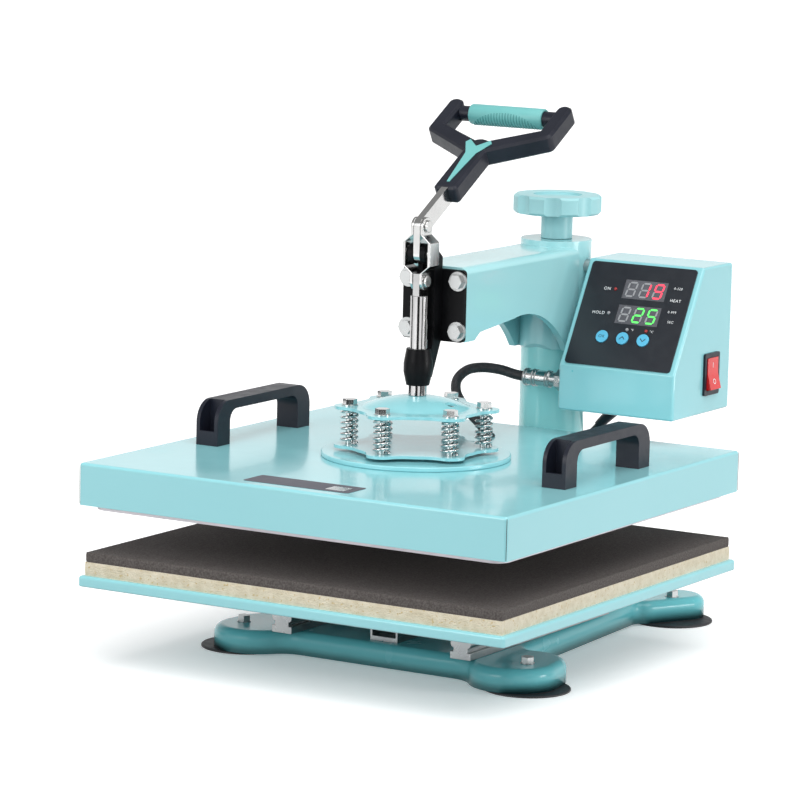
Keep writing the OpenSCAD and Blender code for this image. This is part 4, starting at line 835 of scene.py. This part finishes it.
def makeCoverPlate():
    c = coverPlate
    place = Matrix.Translation(spot(*c["at"]))
    bm = bmesh.new()
    addOutline(bm, roundedOutline(*c["size"], c["corner"]), place, c["thick"])
    bmesh.ops.recalc_face_normals(bm, faces=bm.faces)
    breakEdges(newPiece("coverPlate", bm, "barePlate", "platen"), c["edge"], 2)
    bm = bmesh.new()
    above = place @ Matrix.Translation(Vector((*c["patchAt"], c["thick"] + c["patchLift"])) * mm)
    addOutline(bm, roundedOutline(*c["patch"], c["patchCorner"]), above, c["patchThick"])
    bmesh.ops.recalc_face_normals(bm, faces=bm.faces)
    newPiece("coverPatch", bm, "silverPatch", "platen", smooth=False)


makeCoverPlate()

# painted shade: near-black strips standing for the open seams where the cover's folded sides meet, and a
# darker disc standing for the small hole at the box's lower front corner
seams = {"gap": 0.4, "deep": 0.3, "in": 0.349, "inset": 1.0, "hole": (50.5, 171.9, 224.3),
         "holeRadius": 0.9, "holeSides": 18}


def makeSeams():
    low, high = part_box("platen_cover")
    tall = (high.z - low.z) / mm - 2 * seams["inset"]
    bm = bmesh.new()
    for x, sx in ((low.x, 1), (high.x, -1)):
        for y, sy in ((low.y, 1), (high.y, -1)):
            strip = bmesh.ops.create_cube(bm, size=mm)["verts"]
            turn = Matrix.Rotation(math.radians(-45 * sx * sy), 3, "Z")
            corner = Vector((x, y, (low.z + high.z) / 2)) + Vector((sx, sy, 0)) * seams["in"] * mm
            bmesh.ops.scale(bm, vec=(seams["gap"], seams["deep"], tall), verts=strip)
            bmesh.ops.rotate(bm, verts=strip, cent=(0, 0, 0), matrix=turn)
            bmesh.ops.translate(bm, verts=strip, vec=corner)
    # near-black strips in the rubber finish: painted shade in the open seams
    newPiece("coverSeamShade", bm, "rubberFoot", "platen", smooth=False)
    bm = bmesh.new()
    facing = Matrix.Translation(spot(*seams["hole"])) @ Matrix.Rotation(math.radians(90), 4, "X")
    bends = [math.tau * k / seams["holeSides"] for k in range(seams["holeSides"])]
    r = seams["holeRadius"]
    addOutline(bm, [(r * math.cos(a), r * math.sin(a)) for a in bends], facing)
    # a flat disc of the darkened base paint: painted shade inside the small hole
    newPiece("boxHoleShade", bm, "shadedCastPaint", "arm", smooth=False)


makeSeams()

# turned pieces: handle screws, the heater cable's grommet and the rings of its plug
turned = {"screw": [(0, 2.5), (2.0, 2.4), (3.2, 1.9), (3.9, 0.9), (3.9, 0.02), (0, 0.02)], "screwSteps": 28,
          "screwX": 163.5, "screwY": (-54.5, 70.5), "screwZ": 174.3,
          "grommet": [(4.4, 0.05), (7.8, 0.05), (8.0, 1.0), (7.3, 2.2), (5.9, 3.0), (5.4, 6.5), (4.4, 6.8),
                      (4.4, 0.05)], "grommetSteps": 36, "edge": 0.2, "sharp": 50,
          # place along the plug, width and radius
          "rings": [(0.1, 3.2, 7.7), (7.9, 1.3, 7.6), (10.6, 1.3, 7.3), (21.2, 3.4, 7.4)],
          "ringBore": 6.4, "ringEdge": 0.3, "ringSteps": 40}


def makeScrews():
    bm = bmesh.new()
    for x in (-turned["screwX"], turned["screwX"]):
        for y in turned["screwY"]:
            place = Matrix.Translation(spot(x, y, turned["screwZ"]))
            turnedShape(bm, turned["screw"], turned["screwSteps"], place)
    closeUp(bm)
    breakEdges(newPiece("handleScrews", bm, "zinc", "platen"), turned["edge"], 2, turned["sharp"])


def makeGrommet():
    bm = bmesh.new()
    place = Matrix.Translation(spot(*heaterCable["end"]))
    turnedShape(bm, turned["grommet"], turned["grommetSteps"], place)
    closeUp(bm)
    breakEdges(newPiece("cableGrommet", bm, "rubberFoot", "platen"), turned["edge"], 2, turned["sharp"])


def makePlugRings():
    bm = bmesh.new()
    place = Matrix.Translation(spot(*heaterCable["start"])) @ Matrix.Rotation(math.radians(90), 4, "Y")
    bore, edge = turned["ringBore"], turned["ringEdge"]
    for along, wide, r in turned["rings"]:
        far = along + wide
        line = [(bore, along), (r - edge, along), (r, along + edge), (r, far - edge), (r - edge, far),
                (bore, far), (bore, along)]
        turnedShape(bm, line, turned["ringSteps"], place)
    closeUp(bm)
    rings = newPiece("plugRings", bm, "zinc", "arm")
    rings.data.set_sharp_from_angle(angle=math.radians(turned["sharp"]))


makeScrews()
makeGrommet()
makePlugRings()
print("cover plate, seams, screws, grommet and rings")

print("done")
